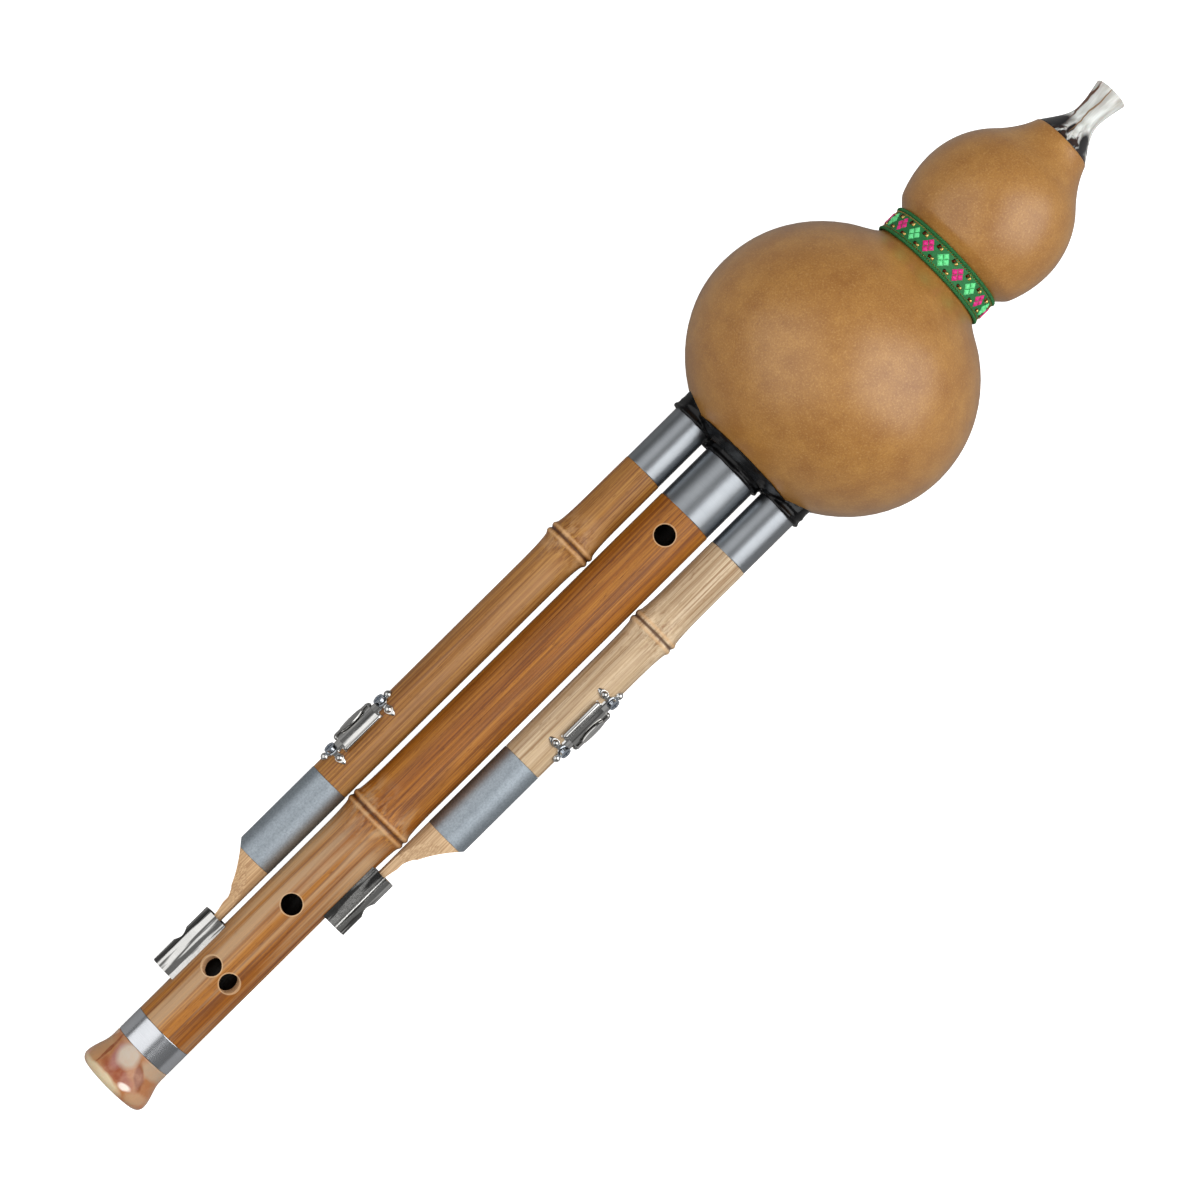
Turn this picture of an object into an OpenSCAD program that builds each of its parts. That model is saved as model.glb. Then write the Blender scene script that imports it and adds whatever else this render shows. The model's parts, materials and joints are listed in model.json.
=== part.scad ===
// Hulusi: a free-reed gourd pipe with one melody pipe and two drones.
// It lies on its front, the thumb-hole side up, resting on the big bulb and the bell.
// Each piece is drawn upright first: z runs from the bell to the mouthpiece,
// +x is the front with the finger holes, and +y is the side of the long drone.

/* [Gourd] */
// Radius of the big bulb at its widest place
big_bulb_r = 48.8; // [44:0.1:54]
// Height of the big bulb above its widest place, if its curve ran to a point
big_bulb_up = 45.6; // [40:0.1:52]
// Height of the big bulb below its widest place
big_bulb_down = 44; // [39:0.1:50]
// Radius of the small bulb at its widest place
small_bulb_r = 26.9; // [24:0.1:31]
// Height of the small bulb above its widest place, if its curve ran to a point
small_bulb_up = 29; // [25:0.1:34]
// Height of the small bulb below its widest place, if its curve ran to a point
small_bulb_down = 31.5; // [27:0.1:36]
// Radius of the waist under the ribbon
waist_r = 20.1; // [18:0.1:22]
// Straight stretch of the waist
waist_len = 6.8; // [5:0.1:9]
// Length of the hollow curve from the big bulb to the waist
lower_shoulder_len = 7.8; // [6:0.1:10]
// Length of the hollow curve from the waist to the small bulb
upper_shoulder_len = 5.4; // [4:0.1:8]
// Length of the hollow curve from the small bulb to the tip
neck_len = 12.4; // [10:0.1:16]
// Radius of the gourd's tip, where the mouthpiece sits
neck_tip_r = 10.7; // [9:0.1:12]
// Wall of the dried gourd
gourd_wall = 3; // [2:0.1:4]

/* [Mouthpiece] */
// Length of the horn mouthpiece outside the gourd
mouthpiece_len = 22.6; // [18:0.1:30]
// Radius of the mouthpiece at its foot
mouthpiece_foot_r = 10.4; // [9:0.1:12]
// Radius of the mouthpiece at its slimmest place
mouthpiece_waist_r = 4.4; // [3.6:0.1:6]
// Radius of the mouthpiece at the lips
mouthpiece_tip_r = 5.9; // [5:0.1:7]
// Radius of the blowing bore
blow_bore_r = 2; // [1.5:0.1:2.8]
// Length of the mouthpiece's tenon inside the gourd
mouthpiece_tenon_len = 9; // [6:0.5:12]
// Radius of the mouthpiece's tenon
mouthpiece_tenon_r = 5.6; // [4.6:0.1:6.4]

/* [Ribbon] */
// Width of the woven ribbon round the waist
ribbon_width = 9.4; // [8:0.1:11]
// Thickness of the woven ribbon
ribbon_thick = 0.7; // [0.5:0.05:1]
// Radius of the corded edges of the ribbon
ribbon_cord_r = 0.75; // [0.5:0.05:0.95]

/* [Melody pipe] */
// Length of the bamboo between the bell ring and the ferrule
main_pipe_len = 230.3; // [215:0.5:260]
// Radius of the bamboo at the bell end
main_r_low = 10.55; // [10.2:0.05:11]
// Radius of the bamboo at the ferrule
main_r_top = 10.25; // [9.8:0.05:10.6]
// Radius of the bore
main_bore_r = 7.4; // [6.6:0.1:8]
// Height of the bamboo's node above the short drone's clip
main_node_up = 11.6; // [9:0.1:16]
// Radius of the thumb hole and of the finger holes
finger_hole_r = 3.5; // [3:0.1:4]
// Distance of the thumb hole below the ferrule
thumb_hole_drop = 9.2; // [8:0.1:14]
// Distance of the first finger hole below the ferrule
first_hole_drop = 30; // [26:0.5:34]
// Distance from one finger hole to the next
finger_pitch = 22.4; // [20:0.1:24]
// Distance of the lowest finger hole below the node
lowest_hole_drop = 18.6; // [16:0.1:20]
// Radius of the vent hole in the back
vent_hole_r = 3.5; // [3:0.1:4]
// Height of the vent hole above the bell end of the bamboo
vent_hole_up = 56.8; // [54:0.1:62]
// Radius of the two holes for the hanging cord
cord_hole_r = 3.3; // [2.6:0.1:3.4]
// Height of the cord holes above the bell end of the bamboo
cord_hole_up = 25.6; // [22:0.1:30]
// Turn of each cord hole from the middle of the back
cord_hole_turn = 22; // [21:0.5:24]

/* [Bell] */
// Length of the bell
bell_len = 15; // [13:0.1:20]
// Largest radius of the bell's flare
bell_flare_r = 12.65; // [12:0.05:14]
// Rounding of the bell's lip
bell_lip_r = 2.6; // [1.5:0.1:3]
// Radius of the bell's bore
bell_bore_r = 8.2; // [7.9:0.1:8.6]
// Length of the bell's bore above its flared mouth
bell_bore_len = 8.2; // [6:0.1:11]
// Radius of the bore at the bell's mouth
bell_mouth_r = 9; // [8.7:0.1:9.4]
// Length of the metal ring above the bell
bell_ring_len = 9.1; // [7:0.1:12]
// Wall of the metal ring
bell_ring_wall = 0.6; // [0.4:0.05:0.8]

/* [Drones] */
// Gap between the melody pipe and the thicker drone
drone_gap = 1.3; // [1.25:0.05:2.2]
// Radius of the long drone's bamboo
long_r = 7.1; // [6.8:0.05:7.15]
// Radius of the short drone's bamboo
short_r = 7.25; // [6.9:0.05:7.3]
// Length of the long drone's bamboo between ferrule and sleeve
long_len = 139; // [132:0.5:142]
// Length of the short drone's bamboo between ferrule and sleeve
short_len = 91.5; // [86:0.5:94]
// Wall of the drones' bamboo
drone_wall = 2.6; // [2.2:0.1:3]
// Distance of the long drone's node below its ferrule
long_node_drop = 32.6; // [28:0.1:40]
// Distance of the short drone's node below its ferrule
short_node_drop = 33.4; // [28:0.1:40]
// Length of each sleeve
sleeve_len = 34; // [30:0.5:38]
// Wall of the sleeves
sleeve_wall = 0.5; // [0.4:0.05:0.6]

/* [Drone tails and clips] */
// Length of the long drone's tail between sleeve and clip
long_tail_len = 21; // [18:0.1:24]
// Length of the short drone's tail between sleeve and clip
short_tail_len = 22.4; // [19:0.1:24]
// Radius of the scoop that thins the tails
scoop_r = 40.4; // [36:0.1:44]
// Thickness of the tails' tongues
tongue_thick = 2.4; // [1.8:0.1:2.6]
// Width of the tails' tongues
tongue_width = 6; // [4:0.1:6.6]
// Depth of the tongues inside the clips
tongue_depth = 9; // [6:0.1:10]
// Distance from the clips to the shoulders where the tongues begin to widen
tongue_shoulder = 7; // [6.5:0.1:9]
// Distance from the clips' tops down to the thinnest place of the tongues
scoop_drop = 5.4; // [4:0.1:6]
// Length of the long drone's clip
long_clip_len = 23.4; // [20:0.1:26]
// Length of the short drone's clip
short_clip_len = 21.9; // [20:0.1:26]
// How far the clips stand out from the melody pipe
clip_out = 7.7; // [7:0.1:9]
// Width of the clips
clip_width = 9; // [8.4:0.1:11]
// Sheet thickness of the clips
clip_wall = 0.5; // [0.4:0.05:0.6]
// Radius of the hole in each clip for reaching its nail
clip_hole_r = 2.8; // [2:0.1:3]

/* [Ferrules and seat] */
// Visible length of the melody pipe's ferrule
main_ferrule_len = 20; // [17:0.1:26]
// Radius of the melody pipe's ferrule
main_ferrule_r = 10.1; // [9.9:0.05:10.2]
// Visible length of the drones' ferrules
drone_ferrule_len = 21.8; // [19:0.1:28]
// Radius of the long drone's ferrule
long_ferrule_r = 6.95; // [6.7:0.05:7.1]
// Radius of the short drone's ferrule
short_ferrule_r = 7.15; // [6.8:0.05:7.2]
// Wall of the ferrules
ferrule_wall = 0.5; // [0.4:0.05:0.6]
// Depth of the melody pipe's tenon in its ferrule
main_tenon_len = 18; // [15:0.5:19]
// Depth of the drones' tenons in their ferrules
drone_tenon_len = 16; // [13:0.5:18]
// Wall of the black wax round the melody pipe's ferrule
main_collar_wall = 1.4; // [1.1:0.05:1.6]
// Wall of the black wax round the drones' ferrules
drone_collar_wall = 1.2; // [1:0.05:1.4]
// Distance from the rim of the middle collar to the bottom of the gourd
collar_drop = 1.6; // [1:0.1:3]
// How much higher the side collars end than the middle one
side_collar_rise = 2.3; // [1.5:0.1:3]
// Depth of the wax inside the gourd, from the bottom of the gourd
wax_depth = 14; // [12.5:0.5:18]

/* [Reeds] */
// Length of the melody pipe's reed tube above its tenon
main_reed_tube_len = 38; // [34:0.5:44]
// Length of the drones' reed tubes above their tenons
drone_reed_tube_len = 30; // [28:0.5:36]
// Length of the melody pipe's reed plate
main_reed_len = 20; // [16:0.5:22]
// Length of the drones' reed plates
drone_reed_len = 15; // [12:0.5:16]
// Thickness of the brass reed plates
reed_thick = 0.5; // [0.4:0.05:0.7]

/* [Drone switches] */
// Height of the long drone's switch above its sleeve
long_switch_up = 18.5; // [17:0.1:24]
// Height of the short drone's switch above its sleeve
short_switch_up = 22.4; // [18:0.1:28]
// Turn of the switches from the back towards their outer side
switch_turn = 62; // [55:1:75]
// Distance between the two screws of a switch
switch_screw_gap = 21.6; // [20.6:0.1:24]
// Length of the bridge and its rails
bridge_len = 16; // [15.5:0.1:16.4]
// Length of the slot in the bridge
slot_len = 13.6; // [13.2:0.1:14]
// Width of the slot in the bridge
slot_width = 2.2; // [2:0.05:2.6]
// Sheet thickness of the switch plates
switch_sheet = 0.6; // [0.5:0.05:0.7]
// Radius of the rolled rails
rail_r = 1.05; // [0.9:0.05:1.2]
// Radius of the screw heads
screw_head_r = 1.9; // [1.6:0.05:2]
// Travel of the slider from closed to open
slider_travel = 6; // [5:0.1:6.4]
// Radius of the drones' tone holes under the switches
tone_hole_r = 1.4; // [1:0.1:1.6]

/* [Hidden] */
$fn = 72;

// Clearances: glued faces, faces that slide in a fit, and loose moving faces
glue_gap = 0.05;
fit_gap = 0.12;
move_gap = 0.3;
// Overrun of a cutting solid past the face that it cuts
over = 1;

// Heights along the melody pipe, from the bell's mouth
pipe_low = bell_len + bell_ring_len;
pipe_top = pipe_low + main_pipe_len;
collar_rim = pipe_top + main_ferrule_len;
gourd_bottom = collar_rim + collar_drop;
side_rim = collar_rim + side_collar_rise;
wax_top = gourd_bottom + wax_depth;
ferrule_top = wax_top + 2;

// The gourd's outline is four elliptic arcs joined by hollow curves
big_arc_end = 52;
small_arc_start = 26;
small_arc_end = 46;
big_mid = gourd_bottom + big_bulb_down;
waist_low = big_mid + big_bulb_up * sin(big_arc_end) + lower_shoulder_len;
waist_mid = waist_low + waist_len / 2;
waist_top = waist_low + waist_len;
small_mid = waist_top + upper_shoulder_len + small_bulb_down * sin(small_arc_start);
neck_start = small_mid + small_bulb_up * sin(small_arc_end);
gourd_top = neck_start + neck_len;
total_len = gourd_top + mouthpiece_len;

// Drones: first the long one, on the +y side, then the short one
sides = [1, -1];
drone_r = [long_r, short_r];
drone_spacing = main_r_low + max(drone_r) + drone_gap;
drone_low = [for (len = [long_len, short_len]) side_rim - drone_ferrule_len - len];
drone_top = side_rim - drone_ferrule_len;
drone_bore_r = [for (r = drone_r) r - drone_wall];
drone_node = [drone_top - long_node_drop, drone_top - short_node_drop];
drone_node_swell = [1.15, 0.95];
drone_ferrule_r = [long_ferrule_r, short_ferrule_r];
drone_tenon_r = [for (r = drone_ferrule_r) r - ferrule_wall - fit_gap];
sleeve_low = [for (w = drone_low) w - sleeve_len];
spigot_r = [for (r = drone_r) r - sleeve_wall];
clip_top = [sleeve_low[0] - long_tail_len, sleeve_low[1] - short_tail_len];
clip_len = [long_clip_len, short_clip_len];
switch_mid = [drone_low[0] + long_switch_up, drone_low[1] + short_switch_up];
switch_angle = [180 - switch_turn, 180 + switch_turn];
drone_colour = [[0.72, 0.51, 0.29], [0.80, 0.66, 0.49]];

// Melody pipe
main_node = clip_top[1] + main_node_up;
main_node_swell = 1;
main_tenon_r = main_ferrule_r - ferrule_wall - fit_gap;
bell_tenon_r = main_r_low - bell_ring_wall;
finger_holes = concat(
    [for (i = [0:4]) pipe_top - first_hole_drop - i * finger_pitch],
    [main_node - lowest_hole_drop]);
node_reach = 14;
node_steps = 14;

// Tenon seals
seal_drop = 4;
seal_width = 1.8;
seal_depth = 0.8;

// Switch heights above the bamboo and angles round it
frame_top = switch_sheet;
pad_low = move_gap;
shutter_low = frame_top + move_gap;
shutter_top = shutter_low + 0.6;
roof_low = shutter_top + move_gap;
roof_top = roof_low + switch_sheet;
thumb_low = roof_top + move_gap;
thumb_top = thumb_low + 0.6;
window_turn = 24;
shutter_turn = 21;
pad_turn = 20;
rail_turn = 36;
lobe_turn = 38;
lobe_r = 1.25;
tip_r = 1.3;
boss_r = 2.6;
arm_width = 1.7;
pad_len = 6.6;
window_len = pad_len + slider_travel + 2 * move_gap;
stem_len = slot_len - slider_travel - 2 * move_gap;
shutter_len = 8.6;
thumb_len = 10;
thumb_width = 3.4;
screw_shank_r = 0.85;

// Value and slope at both ends give a smooth hollow curve
function hollow_curve(t, r0, r1, slope0, slope1, len) =
    (2 * t * t * t - 3 * t * t + 1) * r0 + (t * t * t - 2 * t * t + t) * slope0 * len
    + (3 * t * t - 2 * t * t * t) * r1 + (t * t * t - t * t) * slope1 * len;

// Points of an elliptic arc round the axis, from one angle to another
function bulb_arc(r, height, mid, from, to, steps) =
    [for (i = [0:steps]) let (a = from + (to - from) * i / steps) [r * cos(a), mid + height * sin(a)]];

// Points of a hollow curve, without its end points
function curve_points(w0, w1, r0, r1, slope0, slope1, steps) =
    [for (i = [1:steps - 1]) let (t = i / steps)
        [hollow_curve(t, r0, r1, slope0, slope1, w1 - w0), w0 + t * (w1 - w0)]];

// The gourd's half outline from bottom to tip, drawn in by a wall thickness
function gourd_outline(inset) = let (
    big_r = big_bulb_r - inset,
    up = big_bulb_up - inset,
    small_r = small_bulb_r - inset,
    low_join = big_mid + up * sin(big_arc_end),
    high_join = small_mid - (small_bulb_down - inset) * sin(small_arc_start),
    neck_join = small_mid + (small_bulb_up - inset) * sin(small_arc_end),
    big_end_r = big_r * cos(big_arc_end),
    small_start_r = small_r * cos(small_arc_start),
    small_end_r = small_r * cos(small_arc_end)
) concat(
    bulb_arc(big_r, big_bulb_down - inset, big_mid, -90, 0, 18),
    bulb_arc(big_r, up, big_mid, 5, big_arc_end, 10),
    curve_points(low_join, waist_low, big_end_r, waist_r - inset,
        -big_r / up * tan(big_arc_end), 0, 8),
    [[waist_r - inset, waist_low], [waist_r - inset, waist_top]],
    curve_points(waist_top, high_join, waist_r - inset, small_start_r,
        0, small_r / (small_bulb_down - inset) * tan(small_arc_start), 6),
    bulb_arc(small_r, small_bulb_down - inset, small_mid, -small_arc_start, 0, 6),
    bulb_arc(small_r, small_bulb_up - inset, small_mid, 5, small_arc_end, 9),
    curve_points(neck_join, gourd_top, small_end_r, neck_tip_r - inset,
        -small_r / (small_bulb_up - inset) * tan(small_arc_end), -0.35, 8),
    [[neck_tip_r - inset, gourd_top]]);

// Lie of the whole instrument: the table touches the bell's lip and the big bulb
lip_mid_r = bell_flare_r - bell_lip_r;
function lean_over(p) =
    atan2(p[0] - lip_mid_r, p[1] - bell_lip_r)
    - asin(bell_lip_r / norm([p[0] - lip_mid_r, p[1] - bell_lip_r]));
tilt = max([for (p = gourd_outline(0)) lean_over(p)]);
mouthpiece_lip_r = 0.6;
lowest = bell_lip_r * sin(tilt) - lip_mid_r * cos(tilt) - bell_lip_r;
low_end = bell_lip_r * cos(tilt) - lip_mid_r * sin(tilt) - bell_lip_r;
high_end = (total_len - mouthpiece_lip_r) * cos(tilt)
    + (mouthpiece_tip_r - mouthpiece_lip_r) * sin(tilt) + mouthpiece_lip_r;

module laid() {
    translate([-(low_end + high_end) / 2, 0, -lowest]) rotate([0, 90 - tilt, 0]) children();
}

module at_drone(i) {
    translate([0, sides[i] * drone_spacing, 0]) children();
}

// Turns a piece drawn along +x so that it points out through a drone's switch
module at_switch(i) {
    at_drone(i) translate([0, 0, switch_mid[i]]) rotate([0, 0, switch_angle[i]]) children();
}

// A hole along the radius, at an angle from the front
module side_hole(r, w, angle, length) {
    translate([0, 0, w]) rotate([0, 0, angle]) rotate([0, 90, 0]) cylinder(r = r, h = length);
}

module tube(r_out, r_in, low, high) {
    translate([0, 0, low]) difference() {
        cylinder(r = r_out, h = high - low);
        translate([0, 0, -over]) cylinder(r = r_in, h = high - low + 2 * over);
    }
}

// Gourd

module gourd_shell() {
    hollow = [for (p = gourd_outline(gourd_wall)) if (p[1] < gourd_top - mouthpiece_tenon_len) p];
    hollow_end = hollow[len(hollow) - 1];
    color([0.74, 0.56, 0.36]) laid() difference() {
        rotate_extrude() polygon(concat(gourd_outline(0), [[0, gourd_top]]));
        rotate_extrude() polygon(concat(hollow, [[0, hollow_end[1]]]));
        translate([0, 0, hollow_end[1] - over])
            cylinder(r = mouthpiece_tenon_r + glue_gap, h = gourd_top - hollow_end[1] + 2 * over);
        wax_plug(glue_gap);
    }
}

module mouthpiece() {
    waist_w = gourd_top + mouthpiece_len * 0.53;
    bore_low = gourd_top - mouthpiece_tenon_len;
    tip_mid_r = mouthpiece_tip_r - mouthpiece_lip_r;
    color([0.80, 0.77, 0.74]) laid() difference() {
        rotate_extrude() polygon(concat(
            [[0, bore_low], [mouthpiece_tenon_r, bore_low], [mouthpiece_tenon_r, gourd_top + glue_gap],
                [mouthpiece_foot_r, gourd_top + glue_gap]],
            curve_points(gourd_top + glue_gap, waist_w, mouthpiece_foot_r, mouthpiece_waist_r,
                -0.65, 0, 12),
            [[mouthpiece_waist_r, waist_w]],
            curve_points(waist_w, total_len - mouthpiece_lip_r, mouthpiece_waist_r, mouthpiece_tip_r,
                0, 0.2, 10),
            [for (a = [0:15:90]) [tip_mid_r + mouthpiece_lip_r * cos(a),
                total_len - mouthpiece_lip_r + mouthpiece_lip_r * sin(a)]],
            [[0, total_len]]));
        translate([0, 0, bore_low - over])
            cylinder(r = blow_bore_r, h = total_len - bore_low + 2 * over);
    }
}

// The ribbon's corded edges lie on the start of the bulbs' curves, so they sit a little out
ribbon_gap = 0.22;
ribbon_rise = 0.12;

module neck_ribbon() {
    inner_r = waist_r + ribbon_gap;
    edge_w = ribbon_width / 2 - ribbon_cord_r;
    color([0.10, 0.55, 0.32]) laid() translate([0, 0, waist_mid]) {
        rotate_extrude() union() {
            translate([inner_r, -edge_w]) square([ribbon_thick, 2 * edge_w]);
            for (side = sides) translate([inner_r + ribbon_cord_r + ribbon_rise, side * edge_w])
                circle(r = ribbon_cord_r);
        }
    }
}

// Wax seat and ferrules

module wax_collar(r, rim) {
    bead_r = 0.95;
    rotate_extrude() union() {
        translate([0, rim + bead_r]) square([r, wax_top - rim - bead_r]);
        translate([0, rim]) square([r + 0.15 - bead_r, 2 * bead_r]);
        translate([r + 0.15 - bead_r, rim + bead_r]) circle(r = bead_r, $fn = 24);
    }
}

module wax_plug(gap) {
    translate([0, 0, gourd_bottom - over])
        cylinder(r = main_ferrule_r + main_collar_wall + gap, h = wax_depth + 2 * over);
    for (i = [0:1]) at_drone(i) translate([0, 0, gourd_bottom - over])
        cylinder(r = drone_ferrule_r[i] + drone_collar_wall + gap, h = wax_depth + 2 * over);
}

module wax_seat() {
    color([0.06, 0.06, 0.07]) laid() difference() {
        union() {
            wax_collar(main_ferrule_r + main_collar_wall, collar_rim);
            for (i = [0:1]) at_drone(i) wax_collar(drone_ferrule_r[i] + drone_collar_wall, side_rim);
        }
        translate([0, 0, collar_rim - over])
            cylinder(r = main_ferrule_r + glue_gap, h = wax_top - collar_rim + 2 * over);
        for (i = [0:1]) at_drone(i) translate([0, 0, collar_rim - over])
            cylinder(r = drone_ferrule_r[i] + glue_gap, h = wax_top - collar_rim + 2 * over);
    }
}

module main_ferrule() {
    color([0.72, 0.73, 0.75]) laid()
        tube(main_ferrule_r, main_ferrule_r - ferrule_wall, pipe_top + glue_gap, ferrule_top);
}

module drone_ferrule(i) {
    r = drone_ferrule_r[i];
    color([0.72, 0.73, 0.75]) laid() at_drone(i)
        tube(r, r - ferrule_wall, drone_top + glue_gap, ferrule_top);
}

// Bamboo: a slight taper that flares to a node of two ridges with a groove between them

function swelling(d, height) = height * (1.25 * exp(-norm([d, 0.8]) / 3.6)
    + 0.45 * exp(-pow((abs(d) - 1.4) / 0.8, 2)) - 0.35 * exp(-pow(d / 0.45, 2)));

// The points lie closer together towards the node
function bamboo_side(low, high, r_low, r_high, node_w, height) = concat(
    [[r_low, low]],
    [for (i = [-node_steps:node_steps]) let (
        d = sign(i) * node_reach * pow(abs(i) / node_steps, 1.7),
        w = node_w + d
    ) [r_low + (r_high - r_low) * (w - low) / (high - low) + swelling(d, height), w]],
    [[r_high, high]]);

module seal_groove(r, w) {
    translate([0, 0, w]) difference() {
        cylinder(r = r + over, h = seal_width, center = true);
        cylinder(r = r - seal_depth, h = seal_width + over, center = true);
    }
}

// A ring from the groove's floor out to just inside the ferrule
module seal_ring(tenon_r, ferrule_r, tenon_top) {
    inner = tenon_r - seal_depth + glue_gap;
    outer = ferrule_r - ferrule_wall - glue_gap;
    color([0.15, 0.13, 0.12]) translate([0, 0, tenon_top - seal_drop]) rotate_extrude()
        translate([(inner + outer) / 2, 0])
            square([outer - inner, seal_width - 2 * glue_gap], center = true);
}

module main_pipe() {
    tenon_top = pipe_top + main_tenon_len;
    color([0.69, 0.47, 0.24]) laid() difference() {
        rotate_extrude() polygon(concat(
            [[0, bell_len + glue_gap], [bell_tenon_r, bell_len + glue_gap], [bell_tenon_r, pipe_low]],
            bamboo_side(pipe_low, pipe_top, main_r_low, main_r_top, main_node, main_node_swell),
            [[main_tenon_r, pipe_top], [main_tenon_r, tenon_top], [0, tenon_top]]));
        translate([0, 0, bell_len - over])
            cylinder(r = main_bore_r, h = tenon_top - bell_len + 2 * over);
        seal_groove(main_tenon_r, tenon_top - seal_drop);
        for (w = finger_holes) side_hole(finger_hole_r, w, 0, 2 * main_r_low);
        side_hole(finger_hole_r, pipe_top - thumb_hole_drop, 180, 2 * main_r_low);
        side_hole(vent_hole_r, pipe_low + vent_hole_up, 180, 2 * main_r_low);
        for (side = sides)
            side_hole(cord_hole_r, pipe_low + cord_hole_up, 180 + side * cord_hole_turn, 2 * main_r_low);
        for (i = [0:1])
            side_hole(nail_shank_r + glue_gap, clip_mid(i), sides[i] * 90, 2 * main_r_low);
    }
}

module main_seal_ring() {
    laid() seal_ring(main_tenon_r, main_ferrule_r, pipe_top + main_tenon_len);
}

// Closed tube above a tenon, with a flat window for its reed
module reed_tube(bore_r, r, top, len, reed_len) {
    plug_len = 5;
    tube_wall = 1.6;
    flat_x = reed_flat(r);
    reed_mid = top + len - reed_len / 2 - 3;
    color([0.78, 0.63, 0.42]) difference() {
        union() {
            translate([0, 0, top - plug_len]) cylinder(r = bore_r - glue_gap, h = plug_len + over);
            translate([0, 0, top + glue_gap]) cylinder(r = r, h = len - glue_gap);
        }
        translate([0, 0, top - plug_len - over])
            cylinder(r = min(bore_r, r) - tube_wall, h = plug_len + len - 1);
        translate([-flat_x - 2 * r, -r, reed_mid - reed_len / 2])
            cube([2 * r, 2 * r, reed_len + 2 * r]);
        translate([-r, -r * 0.28, reed_mid - reed_len * 0.3]) cube([r, r * 0.56, reed_len * 0.6]);
    }
}

function reed_flat(r) = r * 0.82;

// Brass plate with a free tongue cut out on three sides
module reed_plate(r, top, len, reed_len) {
    flat_x = reed_flat(r);
    width = 2 * sqrt(r * r - flat_x * flat_x) - 0.4;
    reed_mid = top + len - reed_len / 2 - 3;
    tongue_half = width * 0.2;
    cut = 0.25;
    color([0.83, 0.68, 0.32])
        translate([-flat_x - reed_thick - glue_gap, 0, reed_mid]) difference() {
            translate([0, -width / 2, -reed_len / 2 + glue_gap])
                cube([reed_thick, width, reed_len - 2 * glue_gap]);
            for (side = sides) translate([-over, side * tongue_half - cut / 2, -reed_len * 0.28])
                cube([reed_thick + 2 * over, cut, reed_len * 0.56]);
            translate([-over, -tongue_half - cut / 2, reed_len * 0.28 - cut])
                cube([reed_thick + 2 * over, 2 * tongue_half + cut, cut]);
        }
}

main_reed_tube_r = main_ferrule_r - ferrule_wall - 1.2;
drone_reed_tube_r = [for (r = drone_ferrule_r) r - ferrule_wall - 1];

module main_reed_tube() {
    laid() reed_tube(main_bore_r, main_reed_tube_r, pipe_top + main_tenon_len,
        main_reed_tube_len, main_reed_len);
}

module main_reed() {
    laid() reed_plate(main_reed_tube_r, pipe_top + main_tenon_len, main_reed_tube_len, main_reed_len);
}

// Bell and its ring

module bell_ring() {
    color([0.80, 0.81, 0.83]) laid()
        tube(main_r_low, bell_tenon_r + glue_gap, bell_len + glue_gap, pipe_low - glue_gap);
}

module bell() {
    flare_end = bell_len - 3;
    color([0.72, 0.52, 0.38]) laid() rotate_extrude() polygon(concat(
        [[bell_mouth_r, 0], [lip_mid_r, 0]],
        [for (a = [-75:15:0]) [lip_mid_r + bell_lip_r * cos(a), bell_lip_r + bell_lip_r * sin(a)]],
        curve_points(bell_lip_r, flare_end, bell_flare_r, main_r_low, 0, 0, 10),
        [[main_r_low, flare_end], [main_r_low, bell_len], [bell_bore_r, bell_len],
            [bell_bore_r, bell_len - bell_bore_len]]));
}

// Clips: folded sheet tubes on the melody pipe, each with a nail

nail_shank_r = 0.6;
nail_head_r = 1.3;
nail_head = 0.45;
function clip_mid(i) = clip_top[i] - clip_len[i] / 2;
clip_seat_r = main_r_low + glue_gap;

// Section of a clip on the +y side, drawn in by a wall thickness: straight sides and a round top
module clip_section(inset) {
    half = clip_width / 2 - inset;
    round_mid = clip_seat_r + clip_out - clip_width / 2;
    difference() {
        union() {
            translate([-half, 0]) square([2 * half, round_mid]);
            translate([0, round_mid]) circle(r = half, $fn = 48);
        }
        circle(r = clip_seat_r + inset);
    }
}

module drone_clip(i) {
    color([0.80, 0.80, 0.78]) laid() mirror([0, i, 0]) translate([0, 0, clip_top[i] - clip_len[i]])
        difference() {
            linear_extrude(height = clip_len[i]) clip_section(0);
            translate([0, 0, -over]) linear_extrude(height = clip_len[i] + 2 * over)
                clip_section(clip_wall);
            translate([0, clip_seat_r + clip_out / 2, clip_len[i] / 2]) rotate([-90, 0, 0])
                cylinder(r = clip_hole_r, h = clip_out);
            translate([0, 0, clip_len[i] / 2]) rotate([-90, 0, 0])
                cylinder(r = nail_shank_r + glue_gap, h = clip_seat_r + clip_out / 2);
        }
}

module clip_nails() {
    head_low = clip_seat_r + clip_wall;
    color([0.70, 0.70, 0.70]) laid() for (i = [0:1]) mirror([0, i, 0])
        translate([0, 0, clip_mid(i)]) rotate([-90, 0, 0]) {
            translate([0, 0, main_bore_r + 0.5]) cylinder(r = nail_shank_r, h = head_low - main_bore_r);
            translate([0, 0, head_low]) cylinder(r = nail_head_r, h = nail_head);
        }
}

// Drones

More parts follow.
